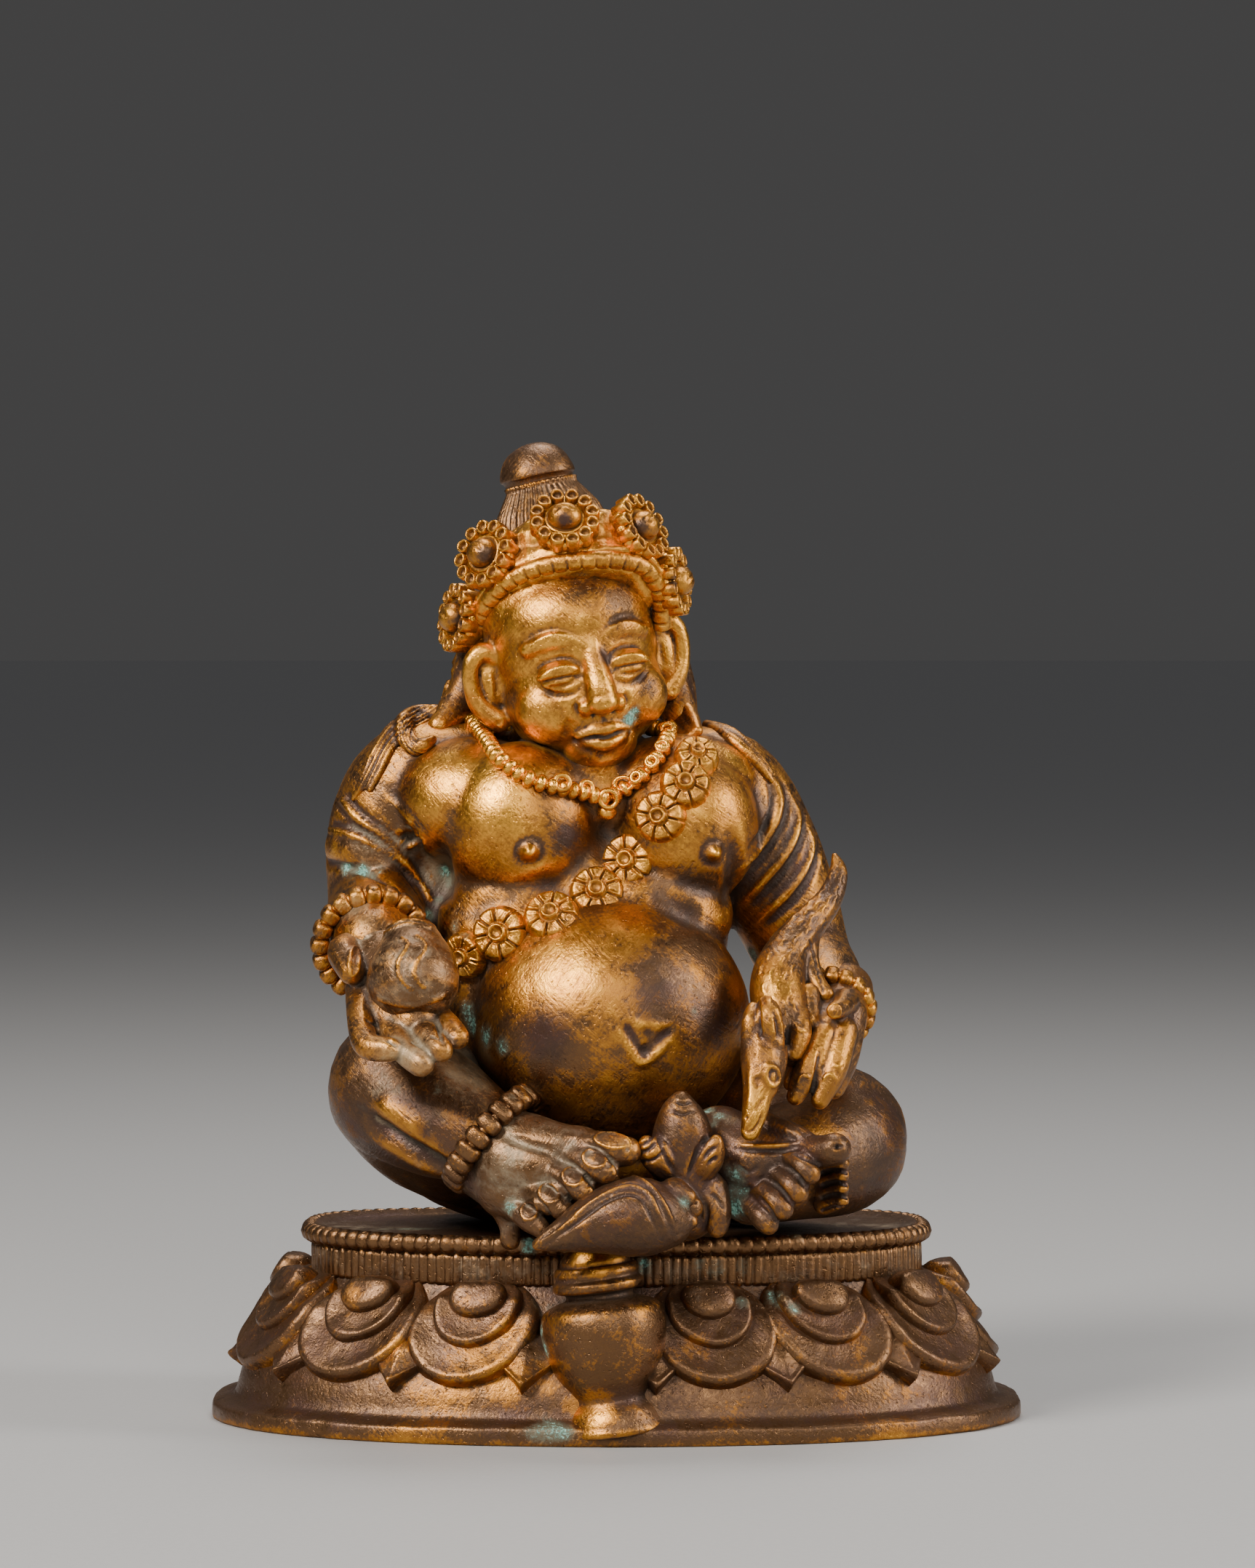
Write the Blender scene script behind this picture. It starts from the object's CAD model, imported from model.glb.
import math
import bpy
import bmesh
import numpy as np
from mathutils import Euler, Matrix, Vector, noise
from mathutils.bvhtree import BVHTree


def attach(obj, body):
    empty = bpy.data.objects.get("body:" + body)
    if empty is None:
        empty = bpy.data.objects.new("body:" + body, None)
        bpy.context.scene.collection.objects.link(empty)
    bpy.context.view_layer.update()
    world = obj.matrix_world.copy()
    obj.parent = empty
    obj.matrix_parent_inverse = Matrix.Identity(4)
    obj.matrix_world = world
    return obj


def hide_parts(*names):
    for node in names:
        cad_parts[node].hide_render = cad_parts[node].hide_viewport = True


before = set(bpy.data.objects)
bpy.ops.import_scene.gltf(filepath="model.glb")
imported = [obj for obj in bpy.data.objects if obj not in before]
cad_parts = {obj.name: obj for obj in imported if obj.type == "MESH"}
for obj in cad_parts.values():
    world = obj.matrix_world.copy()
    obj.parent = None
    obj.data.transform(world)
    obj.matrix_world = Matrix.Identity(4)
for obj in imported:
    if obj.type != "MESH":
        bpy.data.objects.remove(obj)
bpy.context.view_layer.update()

# Shapes are written in millimetres and made metres when a piece is finished.
# The figure's own points are measured from the lotus platform it sits on.
mm = 0.001
seat = 29.6
statueNode = "jambhala_statue"
picture = {"width": 1725, "height": 2156}
photoCamera = {"lens": 135, "sensor": 36, "place": (0.00174, -0.906, 0.124), "pitch": 1.68}


def placeCamera():
    data = bpy.data.cameras.new("photoCamera")
    data.lens = photoCamera["lens"]
    data.sensor_fit = "VERTICAL"
    data.sensor_width = photoCamera["sensor"] * picture["width"] / picture["height"]
    data.sensor_height = photoCamera["sensor"]
    data.clip_start = 0.05
    data.clip_end = 20
    camera = bpy.data.objects.new("photoCamera", data)
    camera.location = photoCamera["place"]
    camera.rotation_euler = (math.radians(90 - photoCamera["pitch"]), 0, 0)
    bpy.context.scene.collection.objects.link(camera)
    bpy.context.scene.camera = camera


placeCamera()


# Shapes

def turnOf(degrees):
    return Euler([math.radians(a) for a in degrees]).to_matrix().to_4x4()


def facing(centre, outward, spin=0.0):  # a place at centre whose Z runs outward
    turn = Vector(outward).normalized().to_track_quat("Z", "Y").to_matrix().to_4x4()
    return Matrix.Translation(centre) @ turn @ Matrix.Rotation(math.radians(spin), 4, "Z")


def sphereDirections(rings):
    bm = bmesh.new()
    bmesh.ops.create_icosphere(bm, subdivisions=rings, radius=1.0)
    directions = [v.co.copy() for v in bm.verts]
    bm.free()
    return directions


thickBall, thinBall = sphereDirections(3), sphereDirections(2)


def ball(bm, centre, radii, turn=(0, 0, 0), rings=4):
    place = Matrix.Translation(centre) @ turnOf(turn) @ Matrix.Diagonal((*radii, 1.0))
    bmesh.ops.create_icosphere(bm, subdivisions=rings, radius=1.0, matrix=place)


def curveThrough(line, steps=8, closed=False):  # a smooth line through a few points
    pts = [np.array(p, float) for p in line]
    if len(pts) == 2:
        return [pts[0] + (pts[1] - pts[0]) * i / steps for i in range(steps + 1)]
    ends = [pts[-1], *pts, pts[0], pts[1]] if closed else [pts[0], *pts, pts[-1]]
    out = []
    for a, b, c, d in zip(ends, ends[1:], ends[2:], ends[3:]):
        for i in range(steps):
            t = i / steps
            out.append(0.5 * (2 * b + (c - a) * t + (2 * a - 5 * b + 4 * c - d) * t * t
                              + (3 * b - a - 3 * c + d) * t ** 3))
    out.append(pts[0] if closed else pts[-1])
    return out


def limb(bm, *stations):  # a tapered limb through balls, each (x, y, z, radius)
    line = stations if len(stations) == 2 else curveThrough(stations, 4)
    for start, end in zip(line, line[1:]):
        spread = thickBall if max(start[3], end[3]) > 4 else thinBall
        verts = [bm.verts.new(Vector(station[:3]) + d * float(station[3]))
                 for station in (start, end) for d in spread]
        hull = bmesh.ops.convex_hull(bm, input=verts)
        spare = {v for v in hull["geom_interior"] + hull["geom_unused"]
                 if isinstance(v, bmesh.types.BMVert)}
        bmesh.ops.delete(bm, geom=list(spare), context="VERTS")


def turned(bm, profile, place, segments, closed=False):
    # profile is (radius, height), from the lower axis point up, or closed for a hoop
    before = set(bm.verts)
    verts = [bm.verts.new((radius, 0.0, height)) for radius, height in profile]
    edges = [bm.edges.new(pair) for pair in zip(verts, verts[1:] + (verts[:1] if closed else []))]
    bmesh.ops.spin(bm, geom=verts + edges, axis=(0, 0, 1), cent=(0, 0, 0), angle=math.tau,
                   steps=segments, use_merge=True)
    new = [v for v in bm.verts if v not in before]
    bmesh.ops.remove_doubles(bm, verts=new, dist=0.0005)
    new = [v for v in bm.verts if v not in before]
    bmesh.ops.transform(bm, matrix=place, verts=new)
    return new


def lengthsAlong(line):  # how far along a line each of its points lies
    return np.concatenate([[0], np.cumsum(np.linalg.norm(np.diff(np.array(line), axis=0), axis=1))])


def smoothProfile(profile, steps):
    return [(max(float(r), 0.0), float(h)) for r, h in curveThrough(profile, steps)]


def pieceOf(name, bm):
    bmesh.ops.recalc_face_normals(bm, faces=bm.faces)
    mesh = bpy.data.meshes.new(name)
    bm.to_mesh(mesh)
    bm.free()
    piece = bpy.data.objects.new(name, mesh)
    bpy.context.scene.collection.objects.link(piece)
    return piece


def settle(piece):  # the modifiers' result becomes the piece's own mesh
    graph = bpy.context.evaluated_depsgraph_get()
    mesh = bpy.data.meshes.new_from_object(piece.evaluated_get(graph))
    piece.modifiers.clear()
    old = piece.data
    piece.data = mesh
    bpy.data.meshes.remove(old)
    return piece


def skin(name, builders, grain, rounds):  # forms run together as one cast surface
    bm = bmesh.new()
    for build in builders:
        build(bm)
    piece = pieceOf(name, bm)
    fuse = piece.modifiers.new("fuse", "REMESH")
    fuse.mode = "VOXEL"
    fuse.voxel_size = grain
    if rounds:
        soften = piece.modifiers.new("soften", "SMOOTH")
        soften.factor = 0.5
        soften.iterations = rounds
    return settle(piece)


def readPoints(piece, what="co"):
    values = np.empty(len(piece.data.vertices) * 3, np.float32)
    piece.data.vertices.foreach_get(what, values)
    return values.reshape(-1, 3).astype(float)


def writePoints(piece, co):
    piece.data.vertices.foreach_set("co", co.astype(np.float32).ravel())
    piece.data.update()


def surfaceOf(piece):
    bm = bmesh.new()
    bm.from_mesh(piece.data)
    tree = BVHTree.FromBMesh(bm)
    bm.free()
    return tree


def pictureRay(pixel):  # from the camera through a place in the picture
    focal = photoCamera["lens"] / photoCamera["sensor"] * picture["height"]
    pitch = math.radians(photoCamera["pitch"])
    across = Vector((1, 0, 0)) * (pixel[0] - picture["width"] / 2) / focal
    down = Vector((0, math.sin(pitch), math.cos(pitch))) * (pixel[1] - picture["height"] / 2) / focal
    eye = Vector(photoCamera["place"]) / mm - Vector((0, 0, seat))
    return eye, (Vector((0, math.cos(pitch), -math.sin(pitch))) + across - down).normalized()


def atDepth(pixel, y):
    eye, along = pictureRay(pixel)
    return eye + along * ((y - eye.y) / along.y)


def seenLimb(bm, *stations):  # a limb through balls, each (picture x, picture y, depth, radius)
    limb(bm, *[(*atDepth((x, y), depth), radius) for x, y, depth, radius in stations])


def onSurface(tree, point, straight=False):
    # two numbers are a place in the picture, or (x, z) straight from the front
    if len(point) == 2:
        start, along = ((Vector((point[0], -90, point[1])), Vector((0, 1, 0))) if straight
                        else pictureRay(point))
        spot, normal, _, _ = tree.ray_cast(start, along)
        if spot is not None:
            return spot, normal
        if not straight:  # just beside the form: the place on it nearest to the line of sight
            tries = [tree.find_nearest(atDepth(point, y)) for y in range(-40, 24, 3)]
            return min(tries, key=lambda found: found[3])[:2]
        point = (point[0], -20, point[1])
    return tree.find_nearest(Vector(point))[:2]


def strand(bm, tree, pixels, radii, lift):  # a tapered strand laid on a surface
    stations = []
    for pixel, radius in zip(pixels, radii):
        spot, normal = onSurface(tree, pixel)
        stations.append((*(spot + normal * lift), radius))
    limb(bm, *stations)


def oval(pixel, wide, high, turn=0.0):  # places round a small oval in the picture
    c, s = math.cos(math.radians(turn)), math.sin(math.radians(turn))
    return [(pixel[0] + wide * math.cos(a) * c - high * math.sin(a) * s,
             pixel[1] + wide * math.cos(a) * s + high * math.sin(a) * c)
            for a in np.linspace(0, math.tau, 9)[:-1]]


# A stroke of the chasing tool: its half width, its depth and the line it follows.
# Above zero it raises a ridge and below zero it cuts a groove.

def ridge(wide, high, *line, blunt=False, closed=False):
    return line, wide, high, blunt, closed


def groove(wide, deep, *line, blunt=False, closed=False):
    return line, wide, -deep, blunt, closed


def carve(piece, strokes, straight=False):
    tree = surfaceOf(piece)
    co, no = readPoints(piece), readPoints(piece, "normal")
    move = np.zeros(len(co))
    for line, wide, depth, blunt, closed in strokes:
        line = curveThrough(line, 8, closed) if len(line) > 1 else [line[0], line[0]]
        met = [onSurface(tree, tuple(p), straight) for p in line]
        spots = np.array([m[0] for m in met])
        outward = np.mean([m[1] for m in met], axis=0)
        near = np.where(((co > spots.min(0) - wide) & (co < spots.max(0) + wide)).all(1)
                        & (no @ outward > -0.1))[0]
        if not len(near):
            continue
        p = co[near]
        best, along, run = np.full(len(near), 1e9), np.zeros(len(near)), 0.0
        lengths = np.linalg.norm(np.diff(spots, axis=0), axis=1)
        total = max(lengths.sum(), 1e-6)
        for a, b, length in zip(spots, spots[1:], lengths):
            t = np.clip(((p - a) @ (b - a)) / max(length * length, 1e-9), 0, 1)
            d = np.linalg.norm(p - a - t[:, None] * (b - a), axis=1)
            closer = d < best
            best[closer] = d[closer]
            along[closer] = (run + t * length)[closer]
            run += length
        inside = np.clip(1 - (best / wide) ** 2, 0, 1) ** 2
        if not blunt and not closed and len(line) > 2:
            inside *= np.clip(np.minimum(along, total - along) / (0.25 * total), 0.15, 1)
        move[near] += depth * inside
    writePoints(piece, co + no * move[:, None])


def roughen(piece, size, depth, seed):  # the slight unevenness of a hand-made wax
    co, no = readPoints(piece), readPoints(piece, "normal")
    shift = Vector((seed, seed * 1.7, seed * 0.6))
    move = np.array([noise.noise(Vector(p) / size + shift) for p in co])
    writePoints(piece, co + no * (move * depth)[:, None])
    return piece


print("tools ready")

# Each finished piece is kept with the tone of its metal: gilding, brown wear and grey bloom
statuePieces = []


def keep(piece, gilt, brown, bloom=0.0, warmth=0.0, material="figure"):
    piece.data.shade_smooth()
    statuePieces.append({"piece": piece, "gilt": gilt, "brown": brown, "bloom": bloom,
                         "warmth": warmth, "material": material})
    return piece


def castPiece(name, builders, strokes, look, straight=False):  # a skin with its chasing and its tone
    piece = skin(name, builders, look["grain"], look["softening"])
    if strokes:
        carve(piece, strokes, straight)
    for size, depth, seed in look.get("uneven", ()):
        roughen(piece, size, depth, seed)
    return keep(piece, look["gilt"], look["brown"], look.get("bloom", 0.0), look.get("warmth", 0.0))


# The trunk and arms
torsoLook = {"grain": 0.6, "softening": 6, "uneven": [(9, 0.25, 0.0)], "gilt": 0.5, "brown": 0.35}
shoulderLook = {"grain": 0.3, "softening": 1, "gilt": 0.45, "brown": 0.5}


def trunk(bm):
    ball(bm, (-6, 7, 13), (31, 20, 15))
    ball(bm, (-1, -9, 32), (21.5, 20.5, 20), (8, 0, 0))
    ball(bm, (-13, -2, 33), (15, 15, 18))
    ball(bm, (-5, 1, 45), (22.5, 16, 22), (0, 0, 8))
    ball(bm, (-7, 3, 62), (25, 13, 13), (0, 0, 8))
    ball(bm, (-14.5, -6.0, 61.6), (12.4, 11.8, 13.2), (12, 0, 12))
    ball(bm, (10.5, -5.4, 61.2), (11.4, 11.5, 12.6), (12, 0, 22))
    ball(bm, (-20, -2.5, 64.5), (14, 11.2, 10.5), (0, 12, 0))
    ball(bm, (8, -1.5, 66.5), (14, 10.8, 9), (0, -8, 0))
    ball(bm, (-5, -2.5, 66), (13, 9.5, 8))
    ball(bm, (-14, -4.5, 46), (13.5, 12.5, 12))
    ball(bm, (5, -5.0, 48), (13, 12.0, 10))
    limb(bm, (-6, 3, 68, 12), (-6.5, 2, 76, 9.5), (-7, 0, 84, 8.0))


def arms(bm):
    limb(bm, (-22, 5, 67.5, 9.8), (-31.5, 4, 68, 9.2), (-35.5, 4, 60, 9.3), (-36.5, 4, 50, 8.2),
         (-36.8, -8, 46, 7.4), (-36.6, -15, 44, 6.0))
    limb(bm, (-27, 4, 62, 6), (-28.5, 3, 50, 5.5), (-29, 0, 44, 4))
    limb(bm, (10, 5, 67, 9.5), (16.5, 4, 66.5, 9.4), (21.5, 4, 59, 9.4), (26.0, 5, 49, 8.6),
         (29.0, 4, 41, 7.4), (32.0, -6, 37, 6.2), (33.5, -14, 33.5, 5.0))


def beside(line, shift):  # a smooth line in the picture, moved sideways
    line = np.array(curveThrough(line, 3))
    way = np.gradient(line, axis=0)
    way /= np.linalg.norm(way, axis=1)[:, None]
    return [tuple(p) for p in line + np.stack([-way[:, 1], way[:, 0]], 1) * shift]


hairLock = [(608, 964), (590, 974), (570, 986), (558, 1001), (559, 1018), (571, 1031), (586, 1032), (597, 1024)]
scarfEnd = [(604, 974), (572, 986), (545, 1002), (525, 1028), (512, 1054), (500, 1078), (486, 1098)]
farScarf = [(972, 990), (1005, 1010), (1036, 1038), (1060, 1066)]


def drapery(bm):  # a hair lock and the scarf's ends laid on the shoulders
    strand(bm, chestTree, hairLock, [1.5, 1.6, 1.65, 1.65, 1.55, 1.45, 1.25, 0.8], 0.9)
    strand(bm, chestTree, scarfEnd, [1.6, 1.6, 1.5, 1.4, 1.25, 1.0, 0.5], 0.0)
    strand(bm, chestTree, [(x + 9, y + 5) for x, y in scarfEnd[1:-1]], [1.2, 1.1, 1.1, 1.0, 0.8], 0.0)
    for shift in (0, 8):
        strand(bm, chestTree, [(x, y + shift) for x, y in farScarf], [0.9, 1.0, 0.95, 0.5], 0.25)
    for lift, turn in ((0, 0.0), (1.1, 0.9), (-1.0, -0.9)):  # three far hair strands
        limb(bm, (8 + turn, 7, 80 + lift, 1.5), (10.4 + turn, 2, 77.6 + lift, 1.3),
             (11.6 + turn, -2.6, 75.4 + lift * 0.6, 0.9))


# Sleeve folds, each with its half width, its height and its line in the picture
sleeveStrokes = [
    ridge(0.7, 0.5, (470, 1100), (490, 1124), (522, 1148), (552, 1176), (574, 1206), (590, 1236), blunt=True),
    groove(0.8, 0.5, (478, 1096), (499, 1119), (530, 1142), (560, 1170), (583, 1202), (598, 1232), blunt=True),
    groove(0.7, 0.4, (462, 1106), (482, 1130), (514, 1155), (543, 1184), (564, 1212), (580, 1240), blunt=True),
    ridge(0.7, 0.5, (454, 1141), (486, 1149), (520, 1164), (552, 1186), (572, 1208), blunt=True),
    groove(0.8, 0.5, (458, 1132), (490, 1140), (524, 1155), (556, 1177), blunt=True),
    ridge(3.0, 0.5, (452, 1164), (482, 1171), (512, 1184), (540, 1202), blunt=True),
    groove(1.0, 0.8, (450, 1186), (480, 1192), (510, 1203), (540, 1219), (560, 1234), blunt=True),
    ridge(0.6, 0.35, (518, 1083), (545, 1108), (572, 1140), (588, 1164), (601, 1188)),
    groove(0.6, 0.3, (524, 1078), (552, 1103), (579, 1135), (596, 1160)),
    ridge(0.95, 0.75, (1058, 1060), (1071, 1090), (1068, 1122), (1053, 1152), (1032, 1180), (1008, 1208)),
    groove(0.8, 0.5, (1050, 1060), (1060, 1090), (1057, 1120), (1043, 1148), (1022, 1174)),
    groove(0.9, 0.6, (1068, 1062), (1082, 1092), (1079, 1124), (1063, 1156), (1040, 1188), (1014, 1220)),
    ridge(0.95, 0.8, (1085, 1090), (1097, 1118), (1092, 1152), (1072, 1186), (1046, 1216), (1016, 1250)),
    groove(0.9, 0.6, (1096, 1092), (1107, 1122), (1102, 1156), (1082, 1192), (1056, 1222), (1026, 1254)),
    ridge(0.95, 0.8, (1108, 1130), (1117, 1158), (1108, 1192), (1084, 1226), (1056, 1254), (1036, 1272)),
    groove(0.9, 0.6, (1117, 1134), (1127, 1162), (1118, 1198), (1094, 1234), (1064, 1262), (1044, 1280)),
    groove(0.8, 0.5, (562, 1134), (567, 1148), (570, 1164)), groove(0.8, 0.45, (574, 1144), (578, 1158), (576, 1172)),
    groove(2.3, 0.8, (560, 1144), (570, 1162)),
]
castingPit = {"centre": (565, 1152), "reach": (15, 20), "pores": 12, "turn": 2.4, "poreWide": 0.9, "poreDeep": 0.55}
for k in range(1, castingPit["pores"] + 1):  # pores wind outward from the middle; each third one stands up
    away = (k / castingPit["pores"]) ** 0.5
    pore = (castingPit["centre"][0] + castingPit["reach"][0] * math.cos(castingPit["turn"] * k) * away,
            castingPit["centre"][1] + castingPit["reach"][1] * math.sin(castingPit["turn"] * k) * away)
    sleeveStrokes.append((groove if k % 3 else ridge)(castingPit["poreWide"], castingPit["poreDeep"], pore))
chestStrokes = [
    ridge(1.9, 1.5, (727, 1170)), ridge(1.1, 0.7, (727, 1168)), ridge(1.7, 1.3, (982, 1172)),
    ridge(1.0, 0.5, (982, 1171)), groove(0.6, 0.22, *oval((727, 1171), 19, 18), closed=True),
    groove(0.6, 0.2, *oval((981, 1173), 17, 17), closed=True),
    groove(3.0, 0.9, (614, 1150), (610, 1180), (612, 1215), (622, 1250)),
    groove(3.4, 0.8, (620, 1240), (650, 1250), (700, 1240), (752, 1222), (790, 1196)),
    groove(3.0, 0.9, (880, 1215), (915, 1236), (950, 1258), (972, 1262)),
    groove(2.6, 0.9, (1000, 1130), (1010, 1170), (1006, 1215), (990, 1250)),
    groove(2.2, 0.5, (838, 1110), (834, 1150), (826, 1190))]
navelStrokes = [
    groove(1.2, 0.5, (862, 1414), (873, 1432), (887, 1448), blunt=True),
    groove(1.3, 0.45, (887, 1446), (900, 1434), (918, 1420), blunt=True), groove(2.2, 0.3, (882, 1420), (900, 1422)),
    ridge(0.9, 0.35, (864, 1405), (890, 1410), (924, 1410)),
    ridge(0.9, 0.4, (854, 1414), (864, 1438), (882, 1462), (904, 1448), (926, 1424))]
torso = castPiece("torsoAndArms", (trunk, arms), sleeveStrokes + chestStrokes + navelStrokes, torsoLook)
chestTree = surfaceOf(torso)
lockStrokes = [groove(0.3, 0.4, *beside(hairLock, shift)) for shift in (-9, -4.5, 0, 4.5, 9)]
lockStrokes += [groove(0.35, 0.3, *beside(scarfEnd, shift)) for shift in (-7, -1, 6, 12)]
castPiece("shoulderLocks", (drapery,), lockStrokes, shoulderLook)
print("torso and arms")


# The legs and feet
legsLook = {"grain": 0.65, "softening": 6, "uneven": [(8, 0.25, 3.0)], "gilt": 0.25, "brown": 0.5, "bloom": 0.25}
nearFootLook = {"grain": 0.29, "softening": 4, "uneven": [(5, 0.15, 5.0)], "gilt": 0.2, "brown": 0.4, "bloom": 0.4}
farFootLook = {"grain": 0.29, "softening": 4, "uneven": [(5, 0.2, 7.0)], "gilt": 0.3, "brown": 0.6}


def legs(bm):
    limb(bm, (-18, 4, 15, 14.5), (-27, -3, 18, 13.6), (-32, -9, 21.5, 12.2))
    limb(bm, (-33, -12, 21.5, 11.0), (-26.5, -18.6, 18.0, 9.4), (-20.5, -23.4, 15.8, 7.2),
         (-18, -24.6, 15.0, 6.4))
    limb(bm, (9, 6, 14.5, 14.5), (22, -1, 13.5, 13.6), (33, -6, 13.6, 11.6))
    limb(bm, (34, -9, 12.6, 10.4), (25, -19, 10.5, 8.4), (14.5, -24, 10.5, 7.0))


nearToes = [[(790, 1577, -33, 2.6), (830, 1580, -35.6, 2.7), (862, 1583, -37, 2.3)],
            [(782, 1590, -34, 2.2), (814, 1602, -37, 2.35), (835, 1613, -38.4, 1.9)],
            [(752, 1608, -34, 2.1), (784, 1626, -37, 2.25), (804, 1639, -38.4, 1.8)],
            [(726, 1633, -33.4, 2.0), (753, 1650, -36.4, 2.15), (774, 1664, -37.8, 1.7)],
            [(702, 1652, -32, 2.0), (727, 1675, -35, 2.0), (744, 1690, -36.4, 1.5)]]
farToes = [[(1100, 1580, -31, 2.5), (1126, 1583, -33.6, 2.4), (1148, 1580, -35, 2.6)],
           [(1084, 1592, -32, 1.9), (1102, 1604, -35, 2.0), (1113, 1614, -36, 1.75)],
           [(1064, 1612, -32, 1.8), (1086, 1628, -35, 1.9), (1098, 1641, -36, 1.65)],
           [(1044, 1634, -32, 1.8), (1064, 1650, -35, 1.9), (1076, 1663, -36, 1.65)],
           [(1030, 1654, -31, 1.8), (1046, 1672, -34, 1.9), (1057, 1684, -35, 1.6)]]


def nearFoot(bm):
    seenLimb(bm, (672, 1585, -24, 6.8), (712, 1582, -28, 6.0), (760, 1580, -31.5, 4.2), (800, 1575, -33, 3.0))
    seenLimb(bm, (672, 1590, -24, 6.6), (698, 1625, -28, 5.2), (712, 1648, -31, 3.6))
    seenLimb(bm, (706, 1598, -28.6, 6.4), (740, 1606, -31.4, 5.0), (764, 1612, -33.0, 3.6))
    seenLimb(bm, (700, 1630, -28.6, 5.2), (726, 1640, -31.4, 3.8))
    seenLimb(bm, (690, 1655, -29, 2.2), (700, 1684, -29, 1.6), (702, 1705, -29, 1.6))
    for toe in nearToes:
        seenLimb(bm, *toe)


def farFoot(bm):
    seenLimb(bm, (990, 1575, -24, 6.0), (1035, 1595, -27.5, 6.0), (1085, 1590, -29, 4.6))
    seenLimb(bm, (1005, 1620, -26, 5.2), (1032, 1650, -28, 3.8))
    seenLimb(bm, (1045, 1545, -27.5, 2.2), (1085, 1560, -30.5, 2.0), (1110, 1572, -32, 1.7))
    for toe in farToes:
        seenLimb(bm, *toe)
    for fold in range(4):
        seenLimb(bm, (1132, 1606 + 17 * fold, -24, 1.6), (1158, 1600 + 17 * fold, -27.5, 1.15))


castPiece("legs", (legs,), [
    groove(3.0, 1.8, (500, 1528), (530, 1556), (568, 1584), (606, 1604), (640, 1616)),
    groove(1.2, 0.7, (505, 1532), (535, 1560), (572, 1588), (610, 1608)),
    ridge(3.4, 0.8, (512, 1510), (548, 1536), (590, 1562)),
], legsLook)


def nail(pixel, wide, high, turn):  # a thin border round a flat nail
    return ridge(0.42, 0.3, *oval(pixel, wide, high, turn), closed=True)


nearNails = [((842, 1568), 24, 10, 8), ((817, 1593), 16, 12, 18), ((787, 1618), 14, 12, 25),
             ((755, 1641), 14, 13, 30), ((728, 1665), 11, 13, 30)]
castPiece("rightFoot", (nearFoot,), [nail(*place) for place in nearNails] + [
    groove(0.6, 0.4, (800, 1570), (826, 1583), (846, 1602), (852, 1616)),
    groove(0.6, 0.4, (774, 1592), (790, 1604), (808, 1620), (822, 1642)),
    groove(0.6, 0.4, (750, 1616), (770, 1630), (794, 1662)), groove(0.6, 0.4, (728, 1640), (746, 1656), (768, 1690)),
    groove(0.35, 0.22, (868, 1570), (862, 1576), (864, 1586)), groove(0.35, 0.2, (834, 1606), (840, 1602)),
    groove(0.35, 0.2, (806, 1632), (812, 1628)), groove(0.35, 0.2, (774, 1656), (780, 1652)),
    groove(1.2, 0.3, (690, 1560), (730, 1576), (765, 1582))
], nearFootLook)
soleStrokes = [
    groove(0.6, 0.5, (1078, 1602), (1096, 1616), (1108, 1634)),
    groove(0.6, 0.5, (1058, 1622), (1076, 1638), (1088, 1656)),
    groove(0.6, 0.5, (1040, 1644), (1056, 1660), (1068, 1678)),
    groove(0.6, 0.5, (1090, 1584), (1110, 1594), (1126, 1602)), groove(0.5, 0.5, (1150, 1572), (1153, 1580)),
    groove(0.4, 0.4, (1144, 1578), (1160, 1576)),
    groove(0.6, 0.3, (1010, 1581), (1050, 1583), (1090, 1581), (1106, 1573)),
    ridge(0.6, 0.35, (1012, 1574), (1050, 1576), (1088, 1574), (1104, 1564)),
    groove(0.6, 0.4, (1020, 1640), (1036, 1630), (1052, 1616)),
    groove(0.6, 0.3, (1012, 1600), (1030, 1612), (1044, 1600))]
for i in range(5):  # folds round the ankle
    soleStrokes.append(groove(0.35, 0.22, (1046 + 9 * i, 1544 + 3 * i), (1056 + 8 * i, 1556 + 2 * i),
                              (1064 + 8 * i, 1567 + i)))
for y in range(1609, 1661, 17):  # and across the hem beside it
    soleStrokes.append(groove(0.5, 0.5, (1130, y + 5), (1146, y), (1164, y + 3), blunt=True))
castPiece("leftFoot", (farFoot,), soleStrokes, farFootLook)
print("legs and feet")


# The hands and what they hold
nearHandLook = {"grain": 0.3, "softening": 5, "gilt": 0.42, "brown": 0.4, "bloom": 0.34}
farHandLook = {"grain": 0.3, "softening": 4, "gilt": 0.4, "brown": 0.5, "bloom": 0.2}
fruitLook = {"grain": 0.36, "softening": 3, "uneven": [(5, 0.15, 9.0)], "gilt": 0.3, "brown": 0.3, "bloom": 0.48}
mongooseLook = {"grain": 0.28, "softening": 3, "gilt": 0.45, "brown": 0.48}


def nearHand(bm):
    limb(bm, (-36.6, -15, 43.5, 5.6), (-33.5, -24, 37, 5.0), (-30, -30, 33, 4.0))
    ball(bm, (-32, -25, 36), (6.5, 8.5, 3.6), (28, 0, 12))
    limb(bm, (-40, -17, 43, 3.0), (-41, -21.5, 43, 2.6), (-39.6, -26, 40.5, 2.1))
    limb(bm, (-38.5, -22, 38, 2.4), (-38.0, -31, 33, 2.1), (-36.8, -35, 30, 2.1), (-33.4, -37, 29.6, 1.9))
    limb(bm, (-34, -29, 33, 2.5), (-31.4, -35, 29.5, 2.2), (-28.8, -38, 27.6, 2.1))
    limb(bm, (-30, -29, 33, 2.4), (-27.6, -35, 31, 2.1), (-25.8, -38, 29.6, 1.9))
    limb(bm, (-27, -27, 34, 2.2), (-24.6, -33, 32.4, 2.0), (-23.4, -35.5, 31.2, 1.8))


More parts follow.
